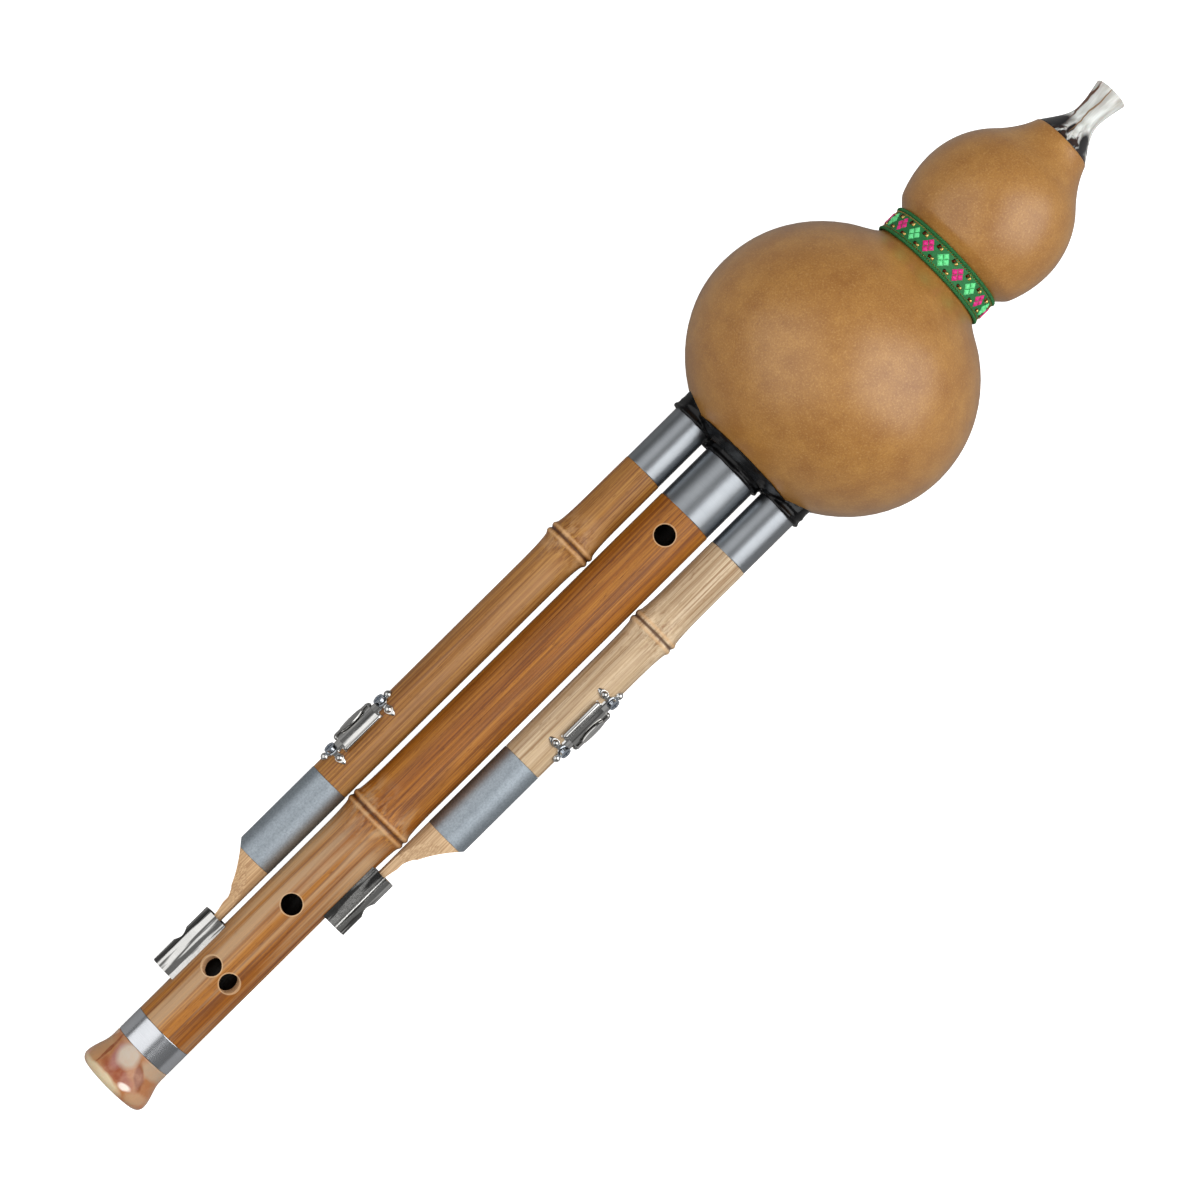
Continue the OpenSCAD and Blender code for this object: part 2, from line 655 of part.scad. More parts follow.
module drone_pipe(i) {
    r = drone_r[i];
    tenon_top = drone_top + drone_tenon_len;
    spigot_low = drone_low[i] - sleeve_len / 2 + glue_gap;
    color(drone_colour[i]) laid() difference() {
        at_drone(i) difference() {
            rotate_extrude() polygon(concat(
                [[0, spigot_low], [spigot_r[i] - glue_gap, spigot_low],
                    [spigot_r[i] - glue_gap, drone_low[i]]],
                bamboo_side(drone_low[i], drone_top, r, r, drone_node[i], drone_node_swell[i]),
                [[drone_tenon_r[i], drone_top], [drone_tenon_r[i], tenon_top], [0, tenon_top]]));
            translate([0, 0, spigot_low - over])
                cylinder(r = drone_bore_r[i], h = tenon_top - spigot_low + 2 * over);
            seal_groove(drone_tenon_r[i], tenon_top - seal_drop);
        }
        at_switch(i) {
            translate([0, 0, -slider_travel / 2]) rotate([0, 90, 0]) cylinder(r = tone_hole_r, h = 2 * r);
            for (end = sides) translate([0, 0, end * switch_screw_gap / 2]) rotate([0, 90, 0])
                cylinder(r = screw_shank_r + glue_gap, h = 2 * r);
        }
    }
}

module drone_seal_ring(i) {
    laid() at_drone(i) seal_ring(drone_tenon_r[i], drone_ferrule_r[i], drone_top + drone_tenon_len);
}

module drone_reed_tube(i) {
    laid() at_drone(i) reed_tube(drone_bore_r[i], drone_reed_tube_r[i], drone_top + drone_tenon_len,
        drone_reed_tube_len, drone_reed_len);
}

module drone_reed(i) {
    laid() at_drone(i) reed_plate(drone_reed_tube_r[i], drone_top + drone_tenon_len,
        drone_reed_tube_len, drone_reed_len);
}

module drone_sleeve(i) {
    color([0.58, 0.62, 0.66]) laid() at_drone(i) difference() {
        tube(drone_r[i] + glue_gap, spigot_r[i], sleeve_low[i], drone_low[i] - glue_gap);
        mirror([0, i, 0]) tail_scoop(i);
    }
}

// The round cut that thins a tail towards its tongue also takes the sleeve's outer corner
module tail_scoop(i) {
    translate([0, scoop_r + tongue_thick - drone_r[i], clip_top[i] - scoop_drop]) rotate([0, 90, 0])
        cylinder(r = scoop_r, h = 4 * drone_r[i], center = true, $fn = 144);
}

// A tube scooped from its outer side down to a tongue, which enters the clip
module drone_tail(i) {
    r = drone_r[i];
    tip = clip_top[i] - tongue_depth;
    spigot_top = drone_low[i] - sleeve_len / 2 - glue_gap;
    taper_low = clip_top[i] + tongue_shoulder;
    tongue_half = tongue_width / 2;
    color([0.76, 0.60, 0.42]) laid() at_drone(i) mirror([0, i, 0]) difference() {
        intersection() {
            union() {
                translate([0, 0, tip]) cylinder(r = r, h = sleeve_low[i] - glue_gap - tip);
                translate([0, 0, sleeve_low[i] - over])
                    cylinder(r = spigot_r[i] - glue_gap, h = spigot_top - sleeve_low[i] + over);
            }
            rotate([90, 0, 0]) linear_extrude(height = 2 * r + 2, center = true) polygon([
                [-tongue_half, tip], [tongue_half, tip], [tongue_half, taper_low],
                [r + over, sleeve_low[i]], [r + over, spigot_top + over],
                [-r - over, spigot_top + over], [-r - over, sleeve_low[i]], [-tongue_half, taper_low]]);
        }
        translate([0, 0, clip_top[i]]) cylinder(r = drone_bore_r[i], h = spigot_top);
        tail_scoop(i);
    }
}

// Switches, drawn round the drone's axis with +x outwards

// Sector of a ring between two radii, either side of +x
module ring_sector(r_in, r_out, turn) {
    reach = 3 * r_out;
    intersection() {
        difference() {
            circle(r = r_out, $fn = 96);
            circle(r = r_in, $fn = 96);
        }
        polygon([[0, 0], [reach * cos(turn), -reach * sin(turn)], [reach, -reach * sin(turn) * 0.4],
            [reach, reach * sin(turn) * 0.4], [reach * cos(turn), reach * sin(turn)]]);
    }
}

// Flat outline of the plate: a body and two lobed ends
module plate_outline(r) {
    lobe_y = (r + switch_sheet) * sin(lobe_turn);
    body_half = (r + switch_sheet) * sin(rail_turn);
    end_z = switch_screw_gap / 2;
    square([2 * body_half, bridge_len], center = true);
    for (end = sides) translate([0, end * end_z]) {
        circle(r = boss_r);
        translate([-lobe_y, -arm_width / 2]) square([2 * lobe_y, arm_width]);
        for (side = sides) translate([side * lobe_y, 0]) circle(r = lobe_r + 0.1, $fn = 32);
        translate([0, end * (boss_r + 0.5)]) circle(r = tip_r + 0.1, $fn = 32);
        translate([-body_half * 0.62, end < 0 ? 0 : -(end_z - bridge_len / 2) - 0.5])
            square([body_half * 1.24, end_z - bridge_len / 2 + 0.5]);
    }
}

module rail(r) {
    translate([0, 0, -bridge_len / 2 + rail_r]) cylinder(r = r, h = bridge_len - 2 * rail_r, $fn = 24);
    for (end = sides) translate([0, 0, end * (bridge_len / 2 - rail_r)]) sphere(r = r, $fn = 24);
}

module switch_frame(i) {
    r = drone_r[i] + glue_gap;
    color([0.78, 0.78, 0.76]) laid() at_switch(i) difference() {
        union() {
            intersection() {
                tube(r + switch_sheet, r, -switch_screw_gap, switch_screw_gap);
                rotate([90, 0, 90]) linear_extrude(height = 2 * r) plate_outline(r);
            }
            linear_extrude(height = bridge_len - 2, center = true) {
                ring_sector(r + roof_low, r + roof_top, rail_turn);
                difference() {
                    ring_sector(r + switch_sheet / 2, r + roof_top, rail_turn);
                    ring_sector(r - over, r + roof_top + over, window_turn + 2);
                }
            }
            for (side = sides) rotate([0, 0, side * rail_turn])
                translate([r + switch_sheet + rail_r * 0.7, 0, 0]) rail(rail_r);
            for (side = sides, end = sides) rotate([0, 0, side * lobe_turn])
                translate([r + switch_sheet * 0.8, 0, end * switch_screw_gap / 2])
                    sphere(r = lobe_r, $fn = 32);
            for (end = sides)
                translate([r + switch_sheet * 0.6, 0, end * (switch_screw_gap / 2 + boss_r + 0.5)])
                    sphere(r = tip_r, $fn = 32);
        }
        translate([r + roof_low - over, -slot_width / 2, -slot_len / 2])
            cube([roof_top, slot_width, slot_len]);
        linear_extrude(height = window_len, center = true)
            ring_sector(r - over, r + switch_sheet + 0.1, window_turn);
        for (end = sides) translate([0, 0, end * switch_screw_gap / 2]) rotate([0, 90, 0])
            cylinder(r = screw_shank_r + glue_gap, h = 2 * r);
        cylinder(r = r, h = 2 * switch_screw_gap, center = true);
    }
}

module switch_slider(i) {
    r = drone_r[i] + glue_gap;
    color([0.82, 0.82, 0.80]) laid() at_switch(i) {
        linear_extrude(height = shutter_len, center = true)
            ring_sector(r + shutter_low, r + shutter_top, shutter_turn);
        translate([r + shutter_low + 0.3, -slot_width / 2 + move_gap, -stem_len / 2])
            cube([thumb_low - shutter_low, slot_width - 2 * move_gap, stem_len]);
        intersection() {
            tube(r + thumb_top, r + thumb_low, -thumb_len, thumb_len);
            rotate([90, 0, 90]) linear_extrude(height = 3 * r) scale([thumb_width / thumb_len, 1])
                circle(d = thumb_len, $fn = 48);
        }
    }
}

module switch_pad(i) {
    r = drone_r[i] + glue_gap;
    color([0.30, 0.20, 0.14]) laid() at_switch(i) linear_extrude(height = pad_len, center = true)
        ring_sector(r + pad_low, r + shutter_low, pad_turn);
}

module switch_screws(i) {
    r = drone_r[i] + glue_gap;
    head_len = 1.1;
    slot_cut = 0.5;
    color([0.66, 0.72, 0.78]) laid() at_switch(i) for (end = sides)
        translate([0, 0, end * switch_screw_gap / 2]) rotate([0, 90, 0]) {
            translate([0, 0, r - drone_wall + 0.4]) cylinder(r = screw_shank_r, h = drone_wall + 0.4);
            translate([0, 0, r + switch_sheet]) difference() {
                cylinder(r = screw_head_r, h = head_len);
                for (turn = [0, 90]) rotate([0, 0, turn])
                    translate([-screw_head_r * 0.65, -slot_cut / 2, head_len - 0.5])
                        cube([screw_head_r * 1.3, slot_cut, 1]);
            }
        }
}

gourd_shell();
mouthpiece();
neck_ribbon();
wax_seat();
main_ferrule();
drone_ferrule(0);  // long_drone_ferrule
drone_ferrule(1);  // short_drone_ferrule
main_pipe();
main_seal_ring();
main_reed_tube();
main_reed();
bell_ring();
bell();
drone_clip(0);  // long_drone_clip
drone_clip(1);  // short_drone_clip
clip_nails();
drone_pipe(0);  // long_drone_pipe
drone_seal_ring(0);  // long_drone_seal_ring
drone_reed_tube(0);  // long_drone_reed_tube
drone_reed(0);  // long_drone_reed
drone_sleeve(0);  // long_drone_sleeve
drone_tail(0);  // long_drone_tail
switch_frame(0);  // long_switch_frame
switch_slider(0);  // long_switch_slider
switch_pad(0);  // long_switch_pad
switch_screws(0);  // long_switch_screws
drone_pipe(1);  // short_drone_pipe
drone_seal_ring(1);  // short_drone_seal_ring
drone_reed_tube(1);  // short_drone_reed_tube
drone_reed(1);  // short_drone_reed
drone_sleeve(1);  // short_drone_sleeve
drone_tail(1);  // short_drone_tail
switch_frame(1);  // short_switch_frame
switch_slider(1);  // short_switch_slider
switch_pad(1);  // short_switch_pad
switch_screws(1);  // short_switch_screws
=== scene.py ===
# %% [markdown]
# A hulusi, finished in Blender
# This lesson dresses a gourd flute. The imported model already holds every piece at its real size,
# so nothing is placed by eye: each finished piece takes its size and place from that model.
# What is left to make is the surface: dried gourd, polished bamboo, horn, resin, wax, sheet metal
# and a woven ribbon.

import json
import math

import bmesh
import bpy
import numpy as np
from mathutils import Matrix, Vector, noise as soft_noise


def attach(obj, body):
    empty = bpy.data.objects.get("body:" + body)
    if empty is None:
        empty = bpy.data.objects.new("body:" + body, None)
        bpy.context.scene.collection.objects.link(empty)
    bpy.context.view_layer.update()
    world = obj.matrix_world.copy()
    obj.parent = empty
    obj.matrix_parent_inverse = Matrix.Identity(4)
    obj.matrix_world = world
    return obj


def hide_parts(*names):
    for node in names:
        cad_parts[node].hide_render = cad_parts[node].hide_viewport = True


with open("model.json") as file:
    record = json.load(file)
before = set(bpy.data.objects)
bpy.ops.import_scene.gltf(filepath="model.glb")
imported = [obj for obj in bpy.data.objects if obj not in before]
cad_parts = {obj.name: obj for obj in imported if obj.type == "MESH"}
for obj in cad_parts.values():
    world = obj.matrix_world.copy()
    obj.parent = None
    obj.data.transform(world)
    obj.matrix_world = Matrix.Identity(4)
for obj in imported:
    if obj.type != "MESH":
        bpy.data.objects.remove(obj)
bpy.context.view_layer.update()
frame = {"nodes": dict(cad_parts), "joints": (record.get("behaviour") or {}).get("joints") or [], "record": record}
cad = frame["nodes"]
scene = bpy.context.scene
scene.view_settings.view_transform = "Standard"
print("pieces in the frame:", len(cad))

# %% [markdown]
# The instrument lies on a table, so its pipes lean a few degrees. It is easier to draw each piece
# upright, with its axis along z and heights counted from the bell's mouth, and to lay it down at
# the end. The lean is the direction in which the melody pipe pulls out, and the bell's lowest
# point along it is height 0.

# %% The instrument's upright frame
MM = 0.001
joint_axis = {joint["name"]: Vector(joint["axis"]) for joint in frame["joints"]}
mounts = {mount["name"]: mount for mount in frame["record"]["mounts"]}
up_pipe = -joint_axis["melody_pipe_pull"].normalized()
lean = math.atan2(up_pipe.z, up_pipe.x)
turned = Matrix.Rotation(math.pi / 2 - lean, 4, "Y")
in_bell = Vector(mounts["bell_bore"]["pos_m"])
bell_low = min((v.co - in_bell).dot(up_pipe) for v in cad["bell"].data.vertices)
LAID = Matrix.Translation(in_bell + bell_low * up_pipe) @ turned
UPRIGHT = LAID.inverted()
print(f"pipes lean {math.degrees(lean):.2f} degrees")

# %% [markdown]
# Sizes and heights are read off the model's pieces with their points turned upright. Measuring
# beats typing: when the model changes, the finished pieces follow it.

# %% Measuring a piece


def upright_points(node):
    """A node's vertices in the upright frame, in millimetres"""
    mesh = cad[node].data
    flat = np.empty(len(mesh.vertices) * 3)
    mesh.vertices.foreach_get("co", flat)
    to_upright = np.array(UPRIGHT)
    return (flat.reshape(-1, 3) @ to_upright[:3, :3].T + to_upright[:3, 3]) / MM


def extent(node):
    """Lowest and highest corner of a node in the upright frame"""
    points = upright_points(node)
    return points.min(0), points.max(0)


def foot_of(node):
    """Lowest height of a node in the upright frame"""
    return float(extent(node)[0][2])


def top_of(node):
    return float(extent(node)[1][2])


def middle(node):
    """Centre of a node's box in the upright frame"""
    low, high = extent(node)
    return [float(value) for value in (low + high) / 2]


KINDS = ("long", "short")
drone_y = {kind: middle(kind + "_drone_ferrule")[1] for kind in KINDS}
total_len = top_of("mouthpiece")
print(f"instrument is {total_len:.1f} mm long, drones stand at", drone_y)

# %% [markdown]
# The photograph was taken almost straight down on the back of the pipes, a little from the bell's
# end, with the mouthpiece towards the upper right corner. The camera's own axes follow from that:
# its right is halfway between up the pipes and the short drone's side.

# %% Camera
VIEW_HEIGHT = 216.8
VIEW_SIDE = -0.15
EYE_HEIGHT = 165.0
EYE_DISTANCE = 1500.0
LENS = 142.6
IMAGE_TURN = math.radians(44.70)
middle_of_view = LAID @ (Vector((0, VIEW_SIDE, VIEW_HEIGHT)) * MM)
eye = LAID @ (Vector((-EYE_DISTANCE, VIEW_SIDE, EYE_HEIGHT)) * MM)
back = (eye - middle_of_view).normalized()
side = Vector((0, -1, 0))
along = back.cross(side)
right = math.cos(IMAGE_TURN) * along + math.sin(IMAGE_TURN) * side
above = math.sin(IMAGE_TURN) * along - math.cos(IMAGE_TURN) * side
view_axes = Matrix((right, above, back)).transposed().to_4x4()
camera = bpy.data.objects.new("camera", bpy.data.cameras.new("camera"))
camera.data.lens = LENS
camera.data.sensor_width = 36
camera.matrix_world = Matrix.Translation(eye) @ view_axes
scene.collection.objects.link(camera)
scene.camera = camera
print("camera stands at", [round(value, 3) for value in eye])

# %% [markdown]
# Node trees are easier to read when each node is one line. These helpers add a node with its
# settings and inputs, where an input is either a plain value or another node's output. An output
# knows the tree that it is in, so only a tree's first node has to be told where it goes.

# %% One node on one line


def add(tree, kind, inputs=None, **settings):
    """One node, its settings and its inputs, which are values or sockets"""
    node = tree.nodes.new(kind)
    for name, value in settings.items():
        setattr(node, name, value)
    for key, value in (inputs or {}).items():
        if isinstance(value, bpy.types.NodeSocket):
            tree.links.new(value, node.inputs[key])
        else:
            node.inputs[key].default_value = value
    return node


def step(kind, inputs, output=0, **settings):
    """One more node, in the tree that its inputs come from; gives one of its outputs"""
    linked = [value for value in inputs.values() if isinstance(value, bpy.types.NodeSocket)]
    return add(linked[0].id_data, kind, inputs, **settings).outputs[output]


print("helpers: add, step")

# %% [markdown]
# A pattern on a surface is mostly arithmetic on places: stretch them, take their noise, keep the
# part between two limits. Short names for these few nodes let a finish read like a sum.

# %% Numbers, vectors and noise


def calc(operation, a, b=0.0):
    return step("ShaderNodeMath", {0: a, 1: b}, operation=operation)


def times(a, b):
    return calc("MULTIPLY", a, b)


def vector_calc(operation, a, b=(0.0, 0.0, 0.0), output=0):
    return step("ShaderNodeVectorMath", {0: a, 1: b}, output, operation=operation)


def scaled(a, b):
    return vector_calc("MULTIPLY", a, b)


def shifted(a, b):
    return vector_calc("ADD", a, b)


def length_of(vector):
    return vector_calc("LENGTH", vector, output="Value")


def vector_of(x=0.0, y=0.0, z=0.0):
    return step("ShaderNodeCombineXYZ", {0: x, 1: y, 2: z})


def parts_of(vector):
    """The three numbers of a vector: to the front, to the long drone's side, and up the pipe"""
    return step("ShaderNodeSeparateXYZ", {0: vector}).node.outputs


def spread(value, low, high, out_low=0.0, out_high=1.0):
    """Stretches the range low to high over out_low to out_high, and cuts it off beyond"""
    inputs = {0: value, 1: low, 2: high, 3: out_low, 4: out_high}
    return step("ShaderNodeMapRange", inputs, clamp=True)


def noise(vector, scale, detail=3.0, roughness=0.5, distortion=0.0):
    inputs = {"Vector": vector, "Scale": scale, "Detail": detail, "Roughness": roughness,
              "Distortion": distortion}
    return step("ShaderNodeTexNoise", inputs)


print("helpers: calc, spread, noise and others")

# %% [markdown]
# A node group is a tree of its own with named inputs and outputs. It is built once, and each
# material that uses it gives it other values.

# %% Starting a node group


def new_tree(name, kind, inputs, outputs):
    """A node group with named sockets: the tree, what it is given and what it gives"""
    tree = bpy.data.node_groups.new(name, kind)
    for in_out, sockets in (("INPUT", inputs), ("OUTPUT", outputs)):
        for label, data, *value in sockets:
            data = "NodeSocket" + data
            socket = tree.interface.new_socket(label, in_out=in_out, socket_type=data)
            if value:
                socket.default_value = value[0]
    return tree, tree.nodes.new("NodeGroupInput").outputs, tree.nodes.new("NodeGroupOutput").inputs


print("helper: new_tree")

# %% [markdown]
# Dried skin, bamboo, horn and metal all have a faint unevenness: patches that are a little darker,
# and a shine that changes from place to place. One group gives both, at a size that each material
# chooses.

# %% Shared group: patches
patches, given, result = new_tree(
    "patches", "ShaderNodeTree",
    [("Vector", "Vector"), ("Size", "Float", 10.0), ("Contrast", "Float", 0.5)],
    [("Patch", "Float"), ("Fleck", "Float")])
patch_scale = calc("DIVIDE", 1.0, given["Size"])
wide = noise(given["Vector"], patch_scale, 4.0, 0.55)
small = noise(given["Vector"], times(patch_scale, 9.0), 3.0, 0.6)
half_band = times(calc("SUBTRACT", 1.0, given["Contrast"]), 0.35)
low_edge = calc("SUBTRACT", 0.5, half_band)
high_edge = calc("ADD", 0.5, half_band)
patches.links.new(spread(wide, low_edge, high_edge), result["Patch"])
patches.links.new(spread(small, low_edge, high_edge), result["Fleck"])
print("group:", patches.name)

# %% [markdown]
# Bamboo is a bundle of fibres that run the length of the pipe. Noise that is squeezed across the
# pipe and drawn out along it gives the fibres: broad bands of tone, thin dark lines, and a fine
# grain.

# %% Shared group: fibres
fibres, given, result = new_tree(
    "fibres", "ShaderNodeTree",
    [("Vector", "Vector"), ("Pitch", "Float", 1.0), ("Seed", "Float", 0.0)],
    [("Bands", "Float"), ("Lines", "Float"), ("Grain", "Float"), ("Pores", "Float")])
seeded = shifted(given["Vector"], vector_of(given["Seed"], given["Seed"]))
for name, squeeze, lengthwise, detail, low, high in (
        ("Bands", 0.3, 0.006, 4.0, 0.38, 0.64),
        ("Lines", 1.4, 0.018, 3.0, 0.50, 0.64),
        ("Grain", 2.0, 0.03, 3.0, 0.38, 0.62),
        ("Pores", 2.9, 0.26, 2.0, 0.60, 0.72)):
    across = calc("DIVIDE", squeeze, given["Pitch"])
    scale = vector_of(across, across, calc("DIVIDE", lengthwise, given["Pitch"]))
    streak = noise(scaled(seeded, scale), 1.0, detail, 0.6, 0.2)
    fibres.links.new(spread(streak, low, high), result[name])
print("group:", fibres.name)

# %% [markdown]
# Every finish starts from the Principled shader. What is the same all over a piece is a plain value
# on a socket, and what changes from place to place is linked to it. Patterns are measured in
# millimetres along the upright instrument, so that they have the real size. Colours are written as
# a screen shows them, from 0 to 255.

# %% Starting a material


def tone(colour):
    """A colour as a screen shows it, 0 to 255, made linear; a socket stays as it is"""
    if isinstance(colour, bpy.types.NodeSocket):
        return colour
    return (*[((c / 255 + 0.055) / 1.055) ** 2.4 if c > 10 else c / 3295 for c in colour], 1.0)


def mix(amount, a, b):
    return step("ShaderNodeMix", {0: amount, 6: tone(a), 7: tone(b)}, 2, data_type="RGBA")


def new_look(name, **sockets):
    """A material with a Principled shader, whose plain values sit on its own sockets"""
    material = bpy.data.materials.new(name)
    material.use_nodes = True
    shader = material.node_tree.nodes["Principled BSDF"]
    for key, value in sockets.items():
        shader.inputs[key.replace("_", " ")].default_value = value
    return material, shader


def upright_mm(shader, axis_y=0.0):
    """Object coordinates turned into the upright frame, in millimetres, centred on one pipe"""
    inputs = {"Vector": add(shader.id_data, "ShaderNodeTexCoord").outputs["Object"],
              "Location": LAID @ Vector((0, axis_y * MM, 0)),
              "Rotation": (0, math.pi / 2 - lean, 0), "Scale": (MM, MM, MM)}
    return step("ShaderNodeMapping", inputs, vector_type="TEXTURE")


def feed(shader, **outputs):
    for key, value in outputs.items():
        shader.id_data.links.new(value, shader.inputs[key.replace("_", " ")])


def bump(shader, height, strength, distance):
    inputs = {"Height": height, "Strength": strength, "Distance": distance}
    feed(shader, Normal=step("ShaderNodeBump", inputs))


def use_group(group, **inputs):
    """Places a node group beside its inputs and returns its outputs"""
    return step("ShaderNodeGroup", inputs, node_tree=group).node.outputs


print("middle grey is", round(tone((128, 128, 128))[0], 3), "in linear light")

# %% [markdown]
# The gourd is dried, scraped and polished. Its skin is even, a warm sand brown with slightly
# darker clouds and tiny pores, and it shines softly. A few pale scratches run over it.

# %% Gourd skin


def make_gourd_skin():
    material, shader = new_look("gourd_skin", Coat_Weight=0.9, Coat_Roughness=0.36,
                                Specular_IOR_Level=0.3)
    where = upright_mm(shader)
    marks = use_group(patches, Vector=where, Size=9.0, Contrast=0.24)
    pores = noise(where, 1.7, 2.0, 0.7)
    base = mix(marks["Patch"], (138, 88, 28), (170, 122, 54))
    base = mix(times(marks["Fleck"], 0.45), base, (146, 99, 44))
    base = mix(spread(pores, 0.52, 0.7, 0.0, 0.42), base, (122, 78, 34))
    base = mix(spread(pores, 0.3, 0.46, 0.34, 0.0), base, (196, 154, 94))
    drawn = scaled(where, (0.9, 0.25, 2.4))
    scratches = spread(noise(drawn, 0.8, 4.0, 0.75), 0.62, 0.76, 0.0, 0.3)
    base = mix(scratches, base, (206, 164, 110))
    feed(shader, Base_Color=base, Roughness=spread(marks["Fleck"], 0, 1, 0.38, 0.48))
    bump(shader, pores, 0.16, 0.00012)
    return material


gourd_skin = make_gourd_skin()
print("finish:", gourd_skin.name)

# %% [markdown]
# A turned piece is an outline swung round an axis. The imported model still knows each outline: its
# faces look away from the axis on the outside and towards it on the inside, and their corners lie
# on full rings. Reading the rings off gives the outline back, so nothing has to be measured twice.

# %% Reading the outline of a turned piece
FULL_RING = 12
SAME = 0.02


def ring_sets(node, axis_y=0.0):
    """(radius, height) of the full rings on a turned piece's outer and on its inner faces"""
    points = upright_points(node) - np.array((0.0, axis_y, 0.0))
    mesh = cad[node].data
    corners = np.empty(len(mesh.loops), dtype=np.int32)
    mesh.loops.foreach_get("vertex_index", corners)
    faces = points[corners.reshape(-1, 3)]
    normal = np.cross(faces[:, 1] - faces[:, 0], faces[:, 2] - faces[:, 0])
    normal /= np.maximum(np.linalg.norm(normal, axis=1, keepdims=True), 1e-9)
    centre = faces.mean(1)[:, :2]
    outward = (normal[:, :2] * centre).sum(1) / np.maximum(np.linalg.norm(centre, axis=1), 1e-9)
    found = []
    for chosen in (outward > SAME, outward < -SAME):
        p = faces[chosen].reshape(-1, 3)
        turn = np.degrees(np.arctan2(p[:, 1], p[:, 0]))
        places = np.stack([np.hypot(p[:, 0], p[:, 1]).round(2), p[:, 2].round(2), turn.round()], 1)
        rings, count = np.unique(np.unique(places, axis=0)[:, :2], axis=0, return_counts=True)
        found.append([(float(r), float(w)) for r, w in rings[count >= FULL_RING]])
    return found


def in_order(rings, direction):
    """Rings one after the other up or down the axis; at one height they follow the last radius"""
    left = sorted(rings, key=lambda ring: direction * ring[1])
    path = []
    while left:
        level = [ring for ring in left if abs(ring[1] - left[0][1]) < SAME]
        left = left[len(level):]
        start = path[-1][0] if path else level[0][0]
        path += sorted(level, key=lambda ring: abs(ring[0] - start))
    return path


def outline(node, axis_y=0.0):
    """A turned piece's closed outline: up its outside and down its inside"""
    outer, inner = ring_sets(node, axis_y)
    path = in_order(outer, 1) + in_order(inner, -1)
    return [ring for i, ring in enumerate(path) if math.dist(ring, path[i - 1]) > SAME]


gourd_outline = outline("gourd_shell")
print("gourd outline:", len(gourd_outline), "rings from", gourd_outline[0])

# %% [markdown]
# The rings are only as close as the model needed. A real edge is never quite sharp and a real
# curve has no facets, so corners get a small rounding, and a smooth curve runs through the rest.
# A ring close to each rounding holds the shading of a long straight wall; otherwise it stays bare.

# %% Smoothing an outline
SHARP = math.radians(27)
CURVE_STEP = math.radians(4)
HOLD = 8


def smoothed(points, edge=0.15, longest=6.0):
    """Rounds a closed outline's corners by edge and draws a curve through its other points"""
    loop = [Vector(point) for point in points]
    count = len(loop)
    ahead = [(loop[(i + 1) % count] - loop[i]) for i in range(count)]
    path = []
    for i in range(count):
        before, after = ahead[i - 1], ahead[i]
        if before.angle(after) > SHARP:
            reach = min(edge, before.length * 0.3, after.length * 0.3)
            start = loop[i] - before.normalized() * reach
            end = loop[i] + after.normalized() * reach
            rounding = [(start, before.normalized()), ((start + end + 2 * loop[i]) / 4, None),
                        (end, after.normalized())]
            if before.length > HOLD * edge:
                rounding.insert(0, (start - before.normalized() * edge, before.normalized()))
            if after.length > HOLD * edge:
                rounding.append((end + after.normalized() * edge, after.normalized()))
            path += rounding
        else:
            path.append((loop[i], (before + after).normalized()))
    fine = []
    for i, (a, slope_a) in enumerate(path):
        b, slope_b = path[(i + 1) % len(path)]
        fine.append(tuple(a))
        if slope_a is None or slope_b is None:
            continue
        length = (b - a).length
        steps = max(1, math.ceil(slope_a.angle(slope_b) / CURVE_STEP), math.ceil(length / longest))
        for step in range(1, steps):
            t = step / steps
            fine.append(tuple(
                (2 * t ** 3 - 3 * t * t + 1) * a + (t ** 3 - 2 * t * t + t) * length * slope_a
                + (3 * t * t - 2 * t ** 3) * b + (t ** 3 - t * t) * length * slope_b))
    return fine


print("smoothed gourd outline:", len(smoothed(gourd_outline)), "points")

# %% [markdown]
# The tree lays a grid over the turned piece: one direction of the grid takes its place from the
# outline's points, the other is the turn round the axis. A little noise that mostly pushes inwards
# keeps natural pieces from looking machined.

# %% Geometry Nodes: a turned piece
MODELS = [("Geometry", "Geometry")]
WELD = 2e-6


def finish_tree(geometry, finish, result):
    """The end of every modifier's tree: smooth faces, real geometry and a material"""
    smooth = step("GeometryNodeSetShadeSmooth", {"Geometry": geometry})
    real = step("GeometryNodeRealizeInstances", {"Geometry": smooth})
    coated = step("GeometryNodeSetMaterial", {"Geometry": real, "Material": finish})
    geometry.id_data.is_modifier = True
    geometry.id_data.links.new(coated, result[0])


turning, given, result = new_tree("turning", "GeometryNodeTree", [
    ("Outline", "Geometry"), ("Around", "Int", 96), ("Wobble", "Float", 0.0),
    ("Wobble Size", "Float", 0.05), ("Seed", "Float", 0.0), ("Finish", "Material")], MODELS)
rows = step("GeometryNodeAttributeDomainSize", {0: given["Outline"]}, "Point Count")
columns = calc("ADD", given["Around"], 1.0)
grid = step("GeometryNodeMeshGrid", {0: 1.0, 1: 1.0, 2: columns, 3: rows})
place = add(turning, "GeometryNodeInputPosition").outputs[0]
share = parts_of(shifted(place, (0.5, 0.5, 0.0)))
row = calc("ROUND", times(share[1], calc("SUBTRACT", rows, 1.0)))
sample = {"Geometry": given["Outline"], "Value": place, "Index": row}
on_outline = step("GeometryNodeSampleIndex", sample, data_type="FLOAT_VECTOR", domain="POINT")
turn = {"Vector": on_outline, "Angle": times(share[0], 2 * math.pi)}
swung = step("ShaderNodeVectorRotate", turn, rotation_type="Z_AXIS")
seeded = shifted(swung, vector_of(given["Seed"]))
wave = noise(seeded, calc("DIVIDE", 1.0, given["Wobble Size"]), 1.0)
push = times(calc("SUBTRACT", wave, 0.6), given["Wobble"])
outward = vector_calc("NORMALIZE", scaled(swung, (1.0, 1.0, 0.0)))
moved = {"Geometry": grid, "Position": shifted(swung, scaled(outward, push))}
